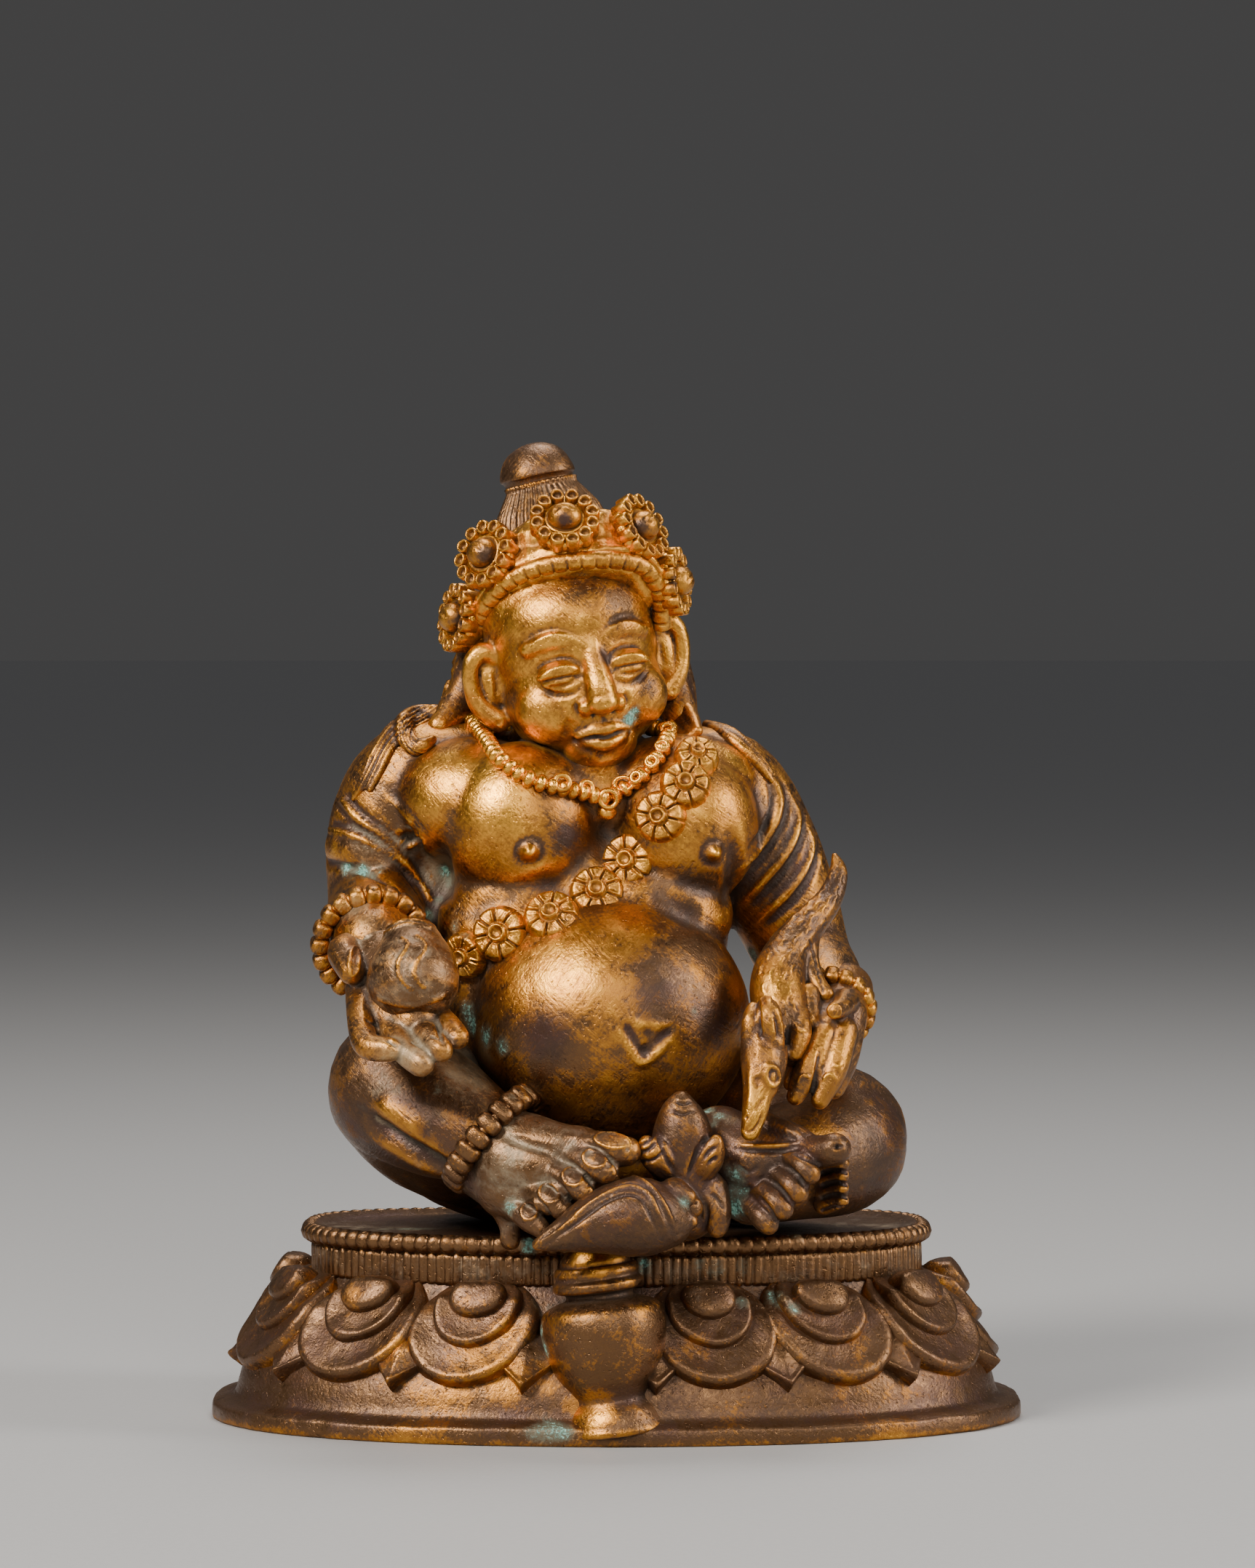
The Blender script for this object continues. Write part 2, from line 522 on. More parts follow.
def farHand(bm):
    seenLimb(bm, (1162, 1362, -10, 4.3), (1153, 1388, -16.5, 4.2), (1142, 1414, -22, 3.6))
    seenLimb(bm, (1166, 1395, -19, 3.0), (1160, 1450, -22.5, 2.5), (1146, 1496, -25, 1.8))
    seenLimb(bm, (1134, 1425, -24.5, 2.3), (1112, 1468, -27.4, 2.2), (1093, 1508, -28.6, 1.4))
    seenLimb(bm, (1160, 1418, -24, 2.2), (1146, 1470, -27, 2.15), (1127, 1513, -28.2, 1.45))
    seenLimb(bm, (1110, 1448, -24, 1.7), (1088, 1490, -26, 1.3))
    seenLimb(bm, (1164, 1376, -20.5, 2.1), (1158, 1384, -24, 1.6), (1147, 1390, -26.4, 1.35))
    seenLimb(bm, (1112, 1366, -21, 1.7), (1116, 1404, -24, 1.5))


def mongooseForm(bm):
    seenLimb(bm, (1147, 1176, -8, 0.5), (1152, 1200, -9, 1.5), (1140, 1236, -11, 2.1), (1110, 1272, -14, 2.8),
             (1081, 1312, -17, 3.5), (1069, 1350, -20, 4.2), (1073, 1392, -23, 4.3), (1078, 1424, -25, 3.7),
             (1082, 1446, -26, 2.4))
    seenLimb(bm, (1114, 1272, -13.6, 1.9), (1110, 1310, -16, 1.8), (1118, 1345, -18.5, 1.6), (1136, 1368, -20.5, 1.3))
    seenLimb(bm, (1096, 1396, -25, 1.9), (1100, 1422, -27.4, 1.8), (1092, 1448, -28.6, 1.3))
    ball(bm, atDepth((1086, 1412), -24.5), (3.0, 3.0, 3.6))
    seenLimb(bm, (1050, 1440, -30.0, 3.6), (1050, 1458, -31.2, 3.7), (1048, 1480, -32.4, 3.2), (1042, 1502, -33.6, 2.4),
             (1037, 1530, -34.8, 2.0), (1031, 1556, -35.4, 1.5))
    seenLimb(bm, (1035, 1386, -29.6, 1.0), (1031, 1404, -31.2, 1.35), (1033, 1438, -31.4, 1.7))
    seenLimb(bm, (1053, 1378, -29.8, 1.1), (1058, 1396, -32.0, 1.9), (1062, 1436, -32.0, 1.9))
    seenLimb(bm, (1045, 1398, -30.0, 1.5), (1047, 1440, -31.4, 2.6))


def fruitForm(bm):  # a citron, widest low down, with a blunt top
    profile = [(0, -7.5), (3.4, -7.4), (4.9, -6.3), (6.6, -3.5), (7.0, -0.8), (6.5, 1.6), (5.5, 3.6), (4.6, 5.0),
               (4.4, 5.6), (4.0, 6.1), (3.8, 6.9), (2.7, 7.5), (0, 7.7)]
    turned(bm, profile, Matrix.Translation((-30.3, -28, 40.6)) @ turnOf((-24, -4, 0)), 48)


castPiece("rightHand", (nearHand,), [
    nail((487, 1322), 7, 20, 4), groove(0.6, 0.5, (530, 1428), (548, 1440)), groove(0.5, 0.3, (500, 1400), (520, 1412)),
    groove(0.6, 0.5, (600, 1400), (610, 1440)), groove(0.4, 0.25, (562, 1430), (580, 1442)),
    groove(0.4, 0.25, (590, 1424), (608, 1430)), groove(0.5, 0.3, (480, 1280), (500, 1290), (515, 1284))
], nearHandLook)
castPiece("leftHand", (farHand,), [
    ridge(0.4, 0.3, (1096, 1492), (1099, 1482), (1108, 1479), (1115, 1486)),
    ridge(0.4, 0.3, (1132, 1490), (1135, 1480), (1144, 1478), (1150, 1486)),
    ridge(0.4, 0.2, *oval((1147, 1390), 9, 9), closed=True),
    groove(0.7, 0.5, (1128, 1436), (1124, 1470), (1114, 1510)),
    ridge(0.4, 0.2, (1146, 1462), (1152, 1466), (1158, 1460))
], farHandLook)
fruitLines = [  # two ribs, two rims round the top and one fold below: half width, height and line
    (0.36, 0.42, (552, 1290), (560, 1296), (558, 1306), (549, 1321), (547, 1336), (555, 1351), (567, 1361)),
    (0.36, 0.42, (573, 1287), (583, 1296), (583, 1308), (573, 1323), (569, 1338), (575, 1351), (583, 1358)),
    (0.4, 0.35, (526, 1284), (548, 1273), (566, 1270), (592, 1276)),
    (0.4, 0.3, (530, 1277), (550, 1267), (566, 1265), (586, 1270)),
    (0.7, 0.25, (520, 1374), (542, 1382), (576, 1383), (610, 1370))]
castPiece("citronFruit", (fruitForm,), [ridge(wide, high, *beside(line, 0), blunt=True)
                                        for wide, high, *line in fruitLines], fruitLook)

furShape = {"lash": 7, "bend": 2.2, "partner": 4.4, "scatter": 1.6, "seed": 7}
fur, tuft = [], np.random.default_rng(furShape["seed"])
furPath = [
    (1156, 1196), (1150, 1222), (1134, 1250), (1110, 1278), (1084, 1306), (1072, 1340), (1074, 1376), (1088, 1404)]
furPath = np.array(curveThrough(furPath, 2))
furWide = np.interp(np.arange(len(furPath)), [0, 3, 8, len(furPath)], [7, 16, 30, 26])
for i in range(1, len(furPath)):  # short lashes, staggered down the back
    ahead = (furPath[i] - furPath[i - 1]) / np.linalg.norm(furPath[i] - furPath[i - 1])
    side = np.array((-ahead[1], ahead[0]))
    for share in ((-0.7, -0.1, 0.55) if i % 2 else (-0.4, 0.25, 0.85)):
        at = furPath[i] + side * share * furWide[i] + tuft.normal(0, furShape["scatter"], 2)
        lash = [at - ahead * furShape["lash"], at + side * furShape["bend"], at + ahead * furShape["lash"]]
        fur.append(groove(0.36, 0.1, *[tuple(p) for p in lash]))
        fur.append(ridge(0.34, 0.15, *[tuple(p + side * furShape["partner"]) for p in lash]))
for x, y in ((1112 + 3 * i, 1292 + 12 * i) for i in range(6)):
    fur.append(groove(0.36, 0.28, (x, y), (x + 4, y + 7), (x + 3, y + 14)))
castPiece("mongoose", (mongooseForm,), fur + [
    groove(0.5, 0.6, (1043, 1382), (1043, 1404), (1046, 1428)),
    groove(0.8, 0.55, (1064, 1394), (1070, 1410), (1072, 1432)),
    groove(1.2, 0.3, (1040, 1478), (1046, 1496)), ridge(0.8, 0.3, (1048, 1468), (1058, 1464), (1068, 1470)),
    ridge(0.45, 0.35, *oval((1062, 1480), 9, 13, -8), closed=True), ridge(0.5, 0.3, (1063, 1474), (1062, 1487)),
    groove(0.5, 0.4, (1020, 1552), (1032, 1556), (1044, 1544), (1050, 1524)),
    groove(0.4, 0.35, (1024, 1538), (1027, 1535)),
    ridge(0.9, 0.3, (1030, 1470), (1032, 1500), (1028, 1530)),
    groove(0.4, 0.3, (1036, 1528), (1044, 1518), (1050, 1508)),
    groove(0.6, 0.5, (1086, 1404), (1082, 1424), (1080, 1444)),
    ridge(0.4, 0.25, (1094, 1412), (1102, 1418), (1108, 1414))
], mongooseLook)
print("hands")


# The treasures in front of the feet
conchLook = {"grain": 0.29, "softening": 4, "uneven": [(5, 0.15, 11.0)], "gilt": 0.3, "brown": 0.6}
budLook = {"grain": 0.28, "softening": 3, "uneven": [(4, 0.15, 13.0)], "gilt": 0.3, "brown": 0.55}


def conchForm(bm):
    limb(bm, (-11.6, -41, 1.0, 0.8), (-6.5, -40.6, 2.9, 3.0), (-0.5, -39.4, 4.6, 5.2),
         (3.6, -38.4, 4.9, 5.9), (7.4, -37.6, 4.4, 4.2))
    limb(bm, (3.0, -39.4, 9.6, 1.2), (7.4, -40.2, 6.0, 1.5), (8.8, -40.0, 2.4, 1.1))
    limb(bm, (8.6, -37.6, 8.4, 2.4), (10.6, -38.4, 7.8, 1.4))
    limb(bm, (9.0, -37.6, 4.6, 2.4), (11.0, -38.6, 4.2, 1.3))


def budForms(bm):
    seenLimb(bm, (937, 1510, -34, 1.1), (936, 1530, -33.6, 2.9), (938, 1562, -33, 4.6), (940, 1602, -32, 4.8),
             (945, 1665, -31, 4.4))
    seenLimb(bm, (928, 1604, -33, 3.2), (904, 1588, -35.6, 2.8), (889, 1572, -37, 1.3))
    seenLimb(bm, (955, 1610, -33, 3.0), (974, 1590, -35, 2.5), (984, 1570, -36, 1.2))
    seenLimb(bm, (970, 1640, -32, 3.6), (984, 1668, -33.5, 2.6), (986, 1690, -34, 1.5))
    seenLimb(bm, (930, 1640, -36, 2.1), (950, 1660, -37, 1.8))


castPiece("conchShell", (conchForm,), [
    ridge(0.6, 0.45, (745, 1708), (785, 1676), (825, 1646), (862, 1632), (890, 1640), (905, 1668), (920, 1700)),
    groove(0.5, 0.4, (748, 1712), (790, 1684), (828, 1655), (860, 1643), (882, 1650), (896, 1676), (910, 1704)),
    ridge(0.6, 0.4, (836, 1624), (868, 1618), (895, 1632), (915, 1660), (930, 1692)),
    groove(0.4, 0.3, (846, 1632), (870, 1627), (892, 1640)), groove(0.4, 0.3, (742, 1704), (770, 1686), (800, 1664))
], conchLook)
castPiece("jewelBuds", (budForms,), [
    groove(0.45, 0.45, (926, 1513), (938, 1518), (952, 1514)),
    groove(0.45, 0.45, (922, 1526), (938, 1532), (956, 1527)),
    groove(0.5, 0.5, (872, 1586), (890, 1582), (904, 1568)), groove(0.5, 0.5, (874, 1596), (896, 1596), (916, 1580)),
    groove(0.45, 0.4, (876, 1576), (888, 1572), (898, 1560)),
    groove(0.5, 0.5, (980, 1560), (968, 1568), (962, 1580)), groove(0.5, 0.5, (986, 1576), (974, 1584), (966, 1596)),
    groove(0.5, 0.5, (988, 1590), (978, 1596), (972, 1602)),
    groove(0.6, 0.5, (905, 1560), (915, 1590), (930, 1618)), groove(0.6, 0.5, (962, 1572), (952, 1600), (944, 1622)),
    groove(0.5, 0.4, (925, 1640), (940, 1632), (955, 1640)), groove(0.5, 0.4, (930, 1652), (944, 1646), (960, 1656)),
    groove(0.5, 0.4, (975, 1640), (988, 1650), (996, 1664)), groove(0.5, 0.4, (970, 1650), (972, 1670), (968, 1690))
], budLook)
print("treasures")


# The head, made facing straight forward and then leaned and turned
headLook = {"grain": 0.33, "softening": 5, "gilt": 0.75, "brown": 0.28}
headPose = {"centre": (-6.3, -1.2, 86.5), "lean": (5, -10, 14)}
headPlace = Matrix.Translation(headPose["centre"]) @ turnOf(headPose["lean"])


def headForm(bm):
    ball(bm, (0, 1.5, 3), (13.2, 14.2, 14.2))
    ball(bm, (0, 3.0, 8), (13.8, 13.4, 11))
    ball(bm, (0, 0.4, 7), (12.8, 12.8, 9.6))
    ball(bm, (0, -2.0, -4.0), (12.4, 11.6, 11))
    ball(bm, (0, -7.6, -11.6), (6.0, 5.0, 4.4))
    limb(bm, (0, -11.0, 4.6, 1.7), (0, -12.4, 0.8, 1.9), (0, -13.7, -3.0, 2.4))
    ball(bm, (0, -14.2, -4.7), (2.5, 2.2, 1.9))
    limb(bm, (-3.9, -11.5, -9.5, 0.8), (-1.5, -12.6, -9.0, 1.05), (0, -12.7, -9.1, 1.0), (1.5, -12.6, -9.0, 1.05),
         (3.9, -11.5, -9.5, 0.8))
    ball(bm, (0, -10.9, -7.6), (4.6, 2.3, 2.2))
    limb(bm, (-2.8, -11.8, -10.7, 0.9), (0, -12.6, -11.1, 1.4), (2.8, -11.8, -10.7, 0.9))
    for side in (-1, 1):
        ball(bm, (side * 5.2, -10.9, 0.3), (3.5, 2.3, 2.2))
        limb(bm, (side * 1.8, -10.6, 4.4, 1.5), (side * 5.2, -10.5, 5.4, 1.6), (side * 9.0, -8.4, 4.4, 1.3))
        ball(bm, (side * 6.2, -6.9, -5.4), (5.8, 5.0, 5.6))
        ball(bm, (side * 2.4, -13.0, -5.2), (1.5, 1.6, 1.35))
        ball(bm, (side * 14.2, 0.5, -0.6), (3.6, 2.3, 6.2), (0, side * -6, side * 10))
        ball(bm, (side * 14.0, -0.9, -1.0), (2.3, 1.5, 4.0), (0, side * -6, side * 10))
        limb(bm, (side * 12.4, -1.0, 3.2, 1.7), (side * 14.5, -1.2, 4.4, 1.6), (side * 16.5, -1.0, 2.6, 1.5),
             (side * 16.8, -0.8, -1.2, 1.4), (side * 15.4, -1.0, -4.6, 1.7), (side * 13.6, -1.2, -6.4, 2.0))


faceMiddle = [groove(0.55, 0.55, (-4.1, -10.15), (-1.8, -9.95), (0, -10.2), (1.8, -9.95), (4.1, -10.15)),
              groove(0.9, 0.3, (0, -7.0), (0, -8.0)),
              groove(1.4, 0.4, (-2.2, -12.9), (0, -13.2), (2.2, -12.9))]
faceHalf = [  # eye, lids, brow, nostril, mouth corner and ear on one side, each (stroke, half width, depth, line)
    (groove, 0.55, 0.5, (2.3, -0.5), (3.8, -0.2), (5.4, -0.15), (7.0, -0.3), (8.4, -0.55)),
    (ridge, 0.75, 0.42, (1.9, -0.3), (3.3, 1.0), (5.2, 1.5), (7.1, 1.05), (8.8, -0.1)),
    (groove, 0.6, 0.35, (1.8, 1.1), (3.3, 2.4), (5.3, 2.8), (7.5, 2.2), (9.0, 1.0)),
    (ridge, 0.6, 0.32, (2.1, -0.8), (3.6, -1.6), (5.2, -1.9), (6.9, -1.6), (8.5, -0.6)),
    (groove, 0.7, 0.3, (2.4, -1.9), (3.8, -2.7), (5.4, -3.0), (7.2, -2.6), (8.6, -1.6)),
    (ridge, 0.6, 0.25, (1.5, 4.3), (3.2, 5.8), (5.4, 6.4), (7.6, 5.9), (9.6, 4.4)),
    (groove, 0.7, 0.22, (1.7, 5.3), (3.4, 6.8), (5.4, 7.4), (7.8, 6.9), (9.8, 5.3)),
    (groove, 0.7, 0.45, (3.7, -3.9), (4.2, -5.2), (3.5, -6.5)),
    (groove, 0.6, 0.6, (1.2, -6.55), (1.9, -6.5)),
    (groove, 0.8, 0.25, (4.4, -10.1)),
    (groove, 0.5, 0.15, (3.6, -8.7), (2.0, -7.75), (0.9, -7.65), (0, -7.95)),
    (groove, 1.2, 0.25, (4.6, -6.4), (5.6, -8.2), (5.9, -9.8)),
    (groove, 0.7, 0.35, (13.4, 1.6), (13.2, -0.8), (13.6, -3.0)),
    (groove, 0.45, 0.3, (14.4, 2.8), (15.3, 2.0), (15.5, -0.8), (14.7, -3.6)),
    (groove, 0.6, 0.3, (14.0, -6.6))]
faceStrokes = faceMiddle + [stroke(wide, deep, *[(side * x, z) for x, z in line])
                            for side in (-1, 1) for stroke, wide, deep, *line in faceHalf]
head = castPiece("headAndFace", (headForm,), faceStrokes, headLook, straight=True)
head.data.transform(headPlace)
print("head")


# The crown: a notched headband with a rolled border, a plain slope, five rosettes,
# and the hair drawn up into a ribbed cone under the finial. Places are (picture, depth)
headband = {"radius": 1.45, "border": 0.8, "cutEvery": 2.15, "cutWide": 0.2, "cutDeep": 0.34}
slope = {"low": 3.6, "high": 3.9}
bandSeen = [
    ((659, 892), -2.0), ((661, 856), -5.0), ((671, 828), -8.0), ((690, 806), -10.2), ((722, 787), -12.0),
    ((760, 776), -12.9), ((805, 770), -13.0), ((850, 770), -12.0), ((882, 778), -10.2), ((900, 798), -7.8),
    ((908, 828), -5.0), ((909, 862), -2.6)]
borderSeen = [
    ((651, 892), -1.2), ((653, 852), -4.2), ((663, 820), -7.2), ((683, 796), -9.6), ((718, 776), -11.4),
    ((758, 765), -12.4), ((805, 758), -12.6), ((855, 757), -11.6), ((890, 766), -9.6), ((909, 790), -7.2),
    ((917, 825), -4.2), ((917, 860), -1.8)]
rosettesSeen = [
    ((630, 850), -1.5, (-0.9, -0.4, 0.12)), ((668, 763), -8.0, (-0.62, -0.72, 0.32)),
    ((776, 716), -11.0, (0.02, -0.78, 0.62)), ((880, 726), -7.5, (0.74, -0.5, 0.42)),
    ((927, 800), -2.0, (0.95, -0.26, 0.12))]
rosetteShape = {"ring": 4.35, "plate": 5.0, "cups": 12, "boss": (2.6, 2.25, 2.2),
                "crescent": 0.55, "crescentWide": 0.14, "crescentDeep": 0.32}
cupProfile = [
    (0, -1.6), (1.08, -1.6), (1.16, 0.0), (1.12, 0.75), (1.0, 1.02), (0.82, 1.02), (0.7, 0.8), (0.62, 0.3), (0.4, 0.12),
    (0, 0.1)]
hairCone = {"ridges": 44, "deep": 0.05}
backHairLook = {"grain": 0.58, "softening": 4, "gilt": 0.3, "brown": 0.6, "bloom": 0.2}
backLocks = {"ridges": 17, "deep": 0.4}
bandArch = [tuple(atDepth(pixel, y + 1.0)) for pixel, y in bandSeen]
crownHeart = Vector((-7.5, 0, 99))


def crownForm(bm):
    limb(bm, *[(*atDepth(pixel, y + 0.8), headband["border"]) for pixel, y in borderSeen])
    limb(bm, *[(*(Vector(p).lerp(crownHeart, 0.24) + Vector((0, 0, 1.2))), slope["low"]) for p in bandArch[1:-1]])
    limb(bm, *[(*(Vector(p).lerp(crownHeart, 0.34) + Vector((0, 0.6, 5.0))), slope["high"]) for p in bandArch[2:-2]])


def tube(bm, path, radius, sides=24):  # a swept rod, closed at both ends; gives back its rings
    spots = [Vector(p) for p in path]
    way = (spots[1] - spots[0]).normalized()
    place = Matrix.Translation(spots[0]) @ way.to_track_quat("Z", "Y").to_matrix().to_4x4()
    ring = bmesh.ops.create_circle(bm, cap_ends=False, segments=sides, radius=radius, matrix=place)["verts"]
    edges = list({edge for v in ring for edge in v.link_edges})
    rings, ends = [ring], list(edges)
    for last, spot, after in zip(spots, spots[1:], spots[2:] + spots[-1:]):
        ahead = (after - last).normalized()
        swing = way.rotation_difference(ahead).to_matrix()
        way = ahead
        grown = bmesh.ops.extrude_edge_only(bm, edges=edges)["geom"]
        ring = [part for part in grown if isinstance(part, bmesh.types.BMVert)]
        new = set(ring)
        edges = [part for part in grown if isinstance(part, bmesh.types.BMEdge) and set(part.verts) <= new]
        for v in ring:
            v.co = spot + swing @ (v.co - last)
        rings.append(ring)
    bmesh.ops.holes_fill(bm, edges=ends + edges, sides=sides)
    return rings


bm = bmesh.new()
rod = curveThrough(bandArch, 26)
run = lengthsAlong(rod)
for spot, along, ring in zip(rod, run, tube(bm, rod, headband["radius"])):
    spot = Vector(spot)
    inner = ((Vector((-6.3, -13, 86)) - spot).normalized() + Vector((0, -0.7, 0))).normalized()
    cut = math.exp(-((along % headband["cutEvery"] - headband["cutEvery"] / 2) / headband["cutWide"]) ** 2)
    for v in ring:
        outward = (v.co - spot).normalized()
        v.co -= outward * headband["cutDeep"] * cut * min(max(1.5 * outward.dot(inner) - 0.1, 0), 1)
keep(roughen(pieceOf("headband", bm), 5, 0.06, 14.0), gilt=0.55, brown=0.45, warmth=0.1)
crownLook = {"grain": 0.34, "softening": 4, "uneven": [(4, 0.3, 15.0), (1.4, 0.22, 16.0)],
             "gilt": 0.75, "brown": 0.35, "warmth": 0.3}
castPiece("crownAndBorder", (crownForm,), [], crownLook)


def rosette(bm, centre, outward):
    shape, place = rosetteShape, facing(centre, outward)
    turned(bm, [(0, -3), (shape["plate"] - 0.5, -3), (shape["plate"], -0.2), (shape["plate"] - 0.3, 0.25), (0, 0.5)],
           place, 40)
    for i in range(shape["cups"]):
        a = math.tau * (i + 0.5) / shape["cups"]
        cup = place @ Matrix.Translation((shape["ring"] * math.cos(a), shape["ring"] * math.sin(a), 0.3))
        turned(bm, cupProfile, cup @ Matrix.Rotation(i * 0.7, 4, "Z") @ Matrix.Diagonal((1, 0.93, 1, 1)), 16)
    turned(bm, [(0, -1), (2.95, -1), (3.1, 0.5), (2.9, 0.85), (2.6, 0.6), (0, 0.6)], place, 40)
    boss = place @ Matrix.Translation((0, 0, 0.9)) @ Matrix.Diagonal((*shape["boss"], 1))
    made = bmesh.ops.create_icosphere(bm, subdivisions=4, radius=1.0, matrix=boss)
    inward = boss.inverted()
    for v in made["verts"]:  # a small crescent cut in the boss
        spot = inward @ v.co
        away = abs(math.hypot(spot.x + 0.05, spot.y + 0.25) - shape["crescent"])
        if spot.z > 0 and spot.y > -0.1 and away < shape["crescentWide"]:
            cut = shape["crescentDeep"] * (1 - (away / shape["crescentWide"]) ** 2)
            v.co -= (v.co - boss.translation).normalized() * cut


for number, (pixel, y, outward) in enumerate(rosettesSeen):
    bm = bmesh.new()
    rosette(bm, atDepth(pixel, y), outward)
    keep(pieceOf("rosette%d" % (number + 1), bm), gilt=0.7, brown=0.4, warmth=0.3)

bm = bmesh.new()
coneProfile = [
    (0, -17), (11.4, -16), (10.6, -12), (9.6, -8.5), (8.9, -6.5), (8.2, -4.6), (7.4, -3.3), (6.4, -1.8), (5.6, -0.6),
    (5.3, 0.3), (0, 0.3)]
coneVerts = turned(bm, smoothProfile(coneProfile, 3), Matrix.Identity(4), 264)
for v in coneVerts:
    if math.hypot(v.co.x, v.co.y) > 4.5:
        turn = math.atan2(v.co.y, v.co.x)
        cut = abs(math.cos(0.5 * hairCone["ridges"] * turn + 0.5 * math.sin(7 * turn) + 0.06 * v.co.z)) ** 3
        v.co.x, v.co.y = v.co.x * (1 - hairCone["deep"] * cut), v.co.y * (1 - hairCone["deep"] * cut)
bmesh.ops.transform(bm, matrix=facing((-11.7, 4.2, 114.2), (-0.22, 0.02, 1)), verts=bm.verts)
keep(pieceOf("hairCone", bm), gilt=0.35, brown=0.3, bloom=0.4)

bm = bmesh.new()
finialProfile = [
    (0, -0.7), (5.0, -0.7), (5.3, -0.3), (5.35, 0.3), (5.55, 0.7), (5.85, 1.0), (5.85, 1.5), (5.6, 2.4), (4.9, 3.8),
    (3.8, 5.0), (2.4, 5.8), (1.1, 6.15), (0, 6.2)]
turned(bm, smoothProfile(finialProfile, 4), facing((-11.9, 4.2, 114.3), (-0.2, 0.02, 1)), 72)
keep(roughen(pieceOf("finial", bm), 4, 0.2, 17.0), gilt=0.2, brown=0.45, bloom=0.35)


def backHairForm(bm):
    ball(bm, (0, 10, -4), (11, 6, 14))
    limb(bm, (0, 3, 12, 11.0), (0, 5, 4, 12.5), (0, 9, -6, 9))
    bmesh.ops.transform(bm, matrix=headPlace, verts=bm.verts)
    limb(bm, (-17.5, 6, 92, 5.0), (-21.0, 7, 86, 4.6), (-24.0, 5.5, 80.5, 3.4), (-27.4, 1.5, 76.6, 2.0))
    limb(bm, (7, 7, 88, 4.0), (8.5, 7, 82, 4.0), (10.0, 4, 78.0, 3.0))


sideLocks = []
for i in range(-2, 4):
    sideLocks.append(groove(0.7, 0.6, (622 - 8 * i, 892 + 4 * i), (600 - 8 * i, 930 + 4 * i),
                            (575 - 8 * i, 966 + 3 * i), blunt=True))
backHair = castPiece("backHair", (backHairForm,), sideLocks, backHairLook)
co, no = readPoints(backHair), readPoints(backHair, "normal")
turn = np.arctan2(co[:, 0] + 6.3, co[:, 1] - 3)
cut = np.abs(np.cos(backLocks["ridges"] * turn + 0.12 * co[:, 2])) ** 3 * np.clip((co[:, 1] - 2) / 3, 0, 1)
writePoints(backHair, co - no * (backLocks["deep"] * cut)[:, None])
print("crown")


# Jewellery

def bead(bm, place, size):  # a rounded barrel
    made = bmesh.ops.create_icosphere(bm, subdivisions=3, radius=1.0)["verts"]
    for v in made:
        v.co /= sum(abs(c) ** 3.2 for c in v.co) ** (1 / 3.2)
    bmesh.ops.transform(bm, matrix=place @ Matrix.Diagonal((*size, 1)), verts=made)


def hoop(bm, place, radius, thickness):
    ring = [(radius + thickness * math.cos(a), thickness * math.sin(a)) for a in np.linspace(0, math.tau, 13)[:-1]]
    turned(bm, ring, place, 64, closed=True)


# Barrel beads round a plain core; axis is the way the wrist or ankle runs through them
beadStrings = {
    "rightBracelet": {"centre": (-37.0, -12.6, 43.8), "axis": (0.1, -0.95, -0.28), "radius": 8.0, "core": 1.0,
                      "beads": 20, "bead": (1.5, 1.28, 1.75), "gilt": 0.12, "brown": 0.45, "bloom": 0.35},
    "leftBracelet": {"centre": (32.6, -13.4, 34.2), "axis": (-0.13, -0.85, -0.5), "radius": 5.9, "core": 0.8,
                     "beads": 17, "bead": (1.2, 1.11, 1.5), "gilt": 0.3, "brown": 0.45, "bloom": 0.0},
    "anklet": {"centre": (-18.6, -24.6, 15.2), "axis": (0.75, -0.25, -0.62), "radius": 8.4, "core": 0.9,
               "beads": 21, "bead": (1.4, 1.28, 2.0), "gilt": -0.05, "brown": 0.5, "bloom": 0.35}}
for name, string in beadStrings.items():
    bm = bmesh.new()
    place = facing(string["centre"], string["axis"])
    hoop(bm, place, string["radius"], string["core"])
    for i in range(string["beads"]):
        turn = Matrix.Rotation(math.radians(360.0 * i / string["beads"]), 4, "Z")
        bead(bm, place @ turn @ Matrix.Translation((string["radius"], 0, 0)), string["bead"])
    keep(roughen(pieceOf(name, bm), 4, 0.12, 21.0), string["gilt"], string["brown"], string["bloom"])

# The necklace's beads follow the throat; ring pendants hang in front, each (place, radius, squash)
necklace = {"cord": 0.7, "spacing": 1.8, "bead": (1.0, 1.4, 1.35), "lift": 0.85}
necklaceSeen = [
    (646, 992), (656, 1008), (670, 1026), (686, 1045), (705, 1062), (728, 1075), (754, 1083), (792, 1091), (833, 1096),
    (866, 1084), (892, 1066), (908, 1046), (917, 1022), (921, 1000)]
necklaceBehind = [
    (7.8, 0.5, 74.6), (3.5, 8.0, 77.4), (-6.5, 11.2, 78.4), (-16.5, 8.0, 77.0), (-20.6, 0.5, 74.4)]
pendantsSeen = [
    ((766, 1082), 1.15, 1.0), ((796, 1088), 0.95, 1.0), ((833, 1098), 1.3, 1.0), ((864, 1082), 1.45, 0.7),
    ((884, 1077), 0.75, 1.0), ((903, 1058), 0.85, 1.0), ((913, 1038), 0.85, 1.0), ((918, 1016), 0.85, 1.0)]


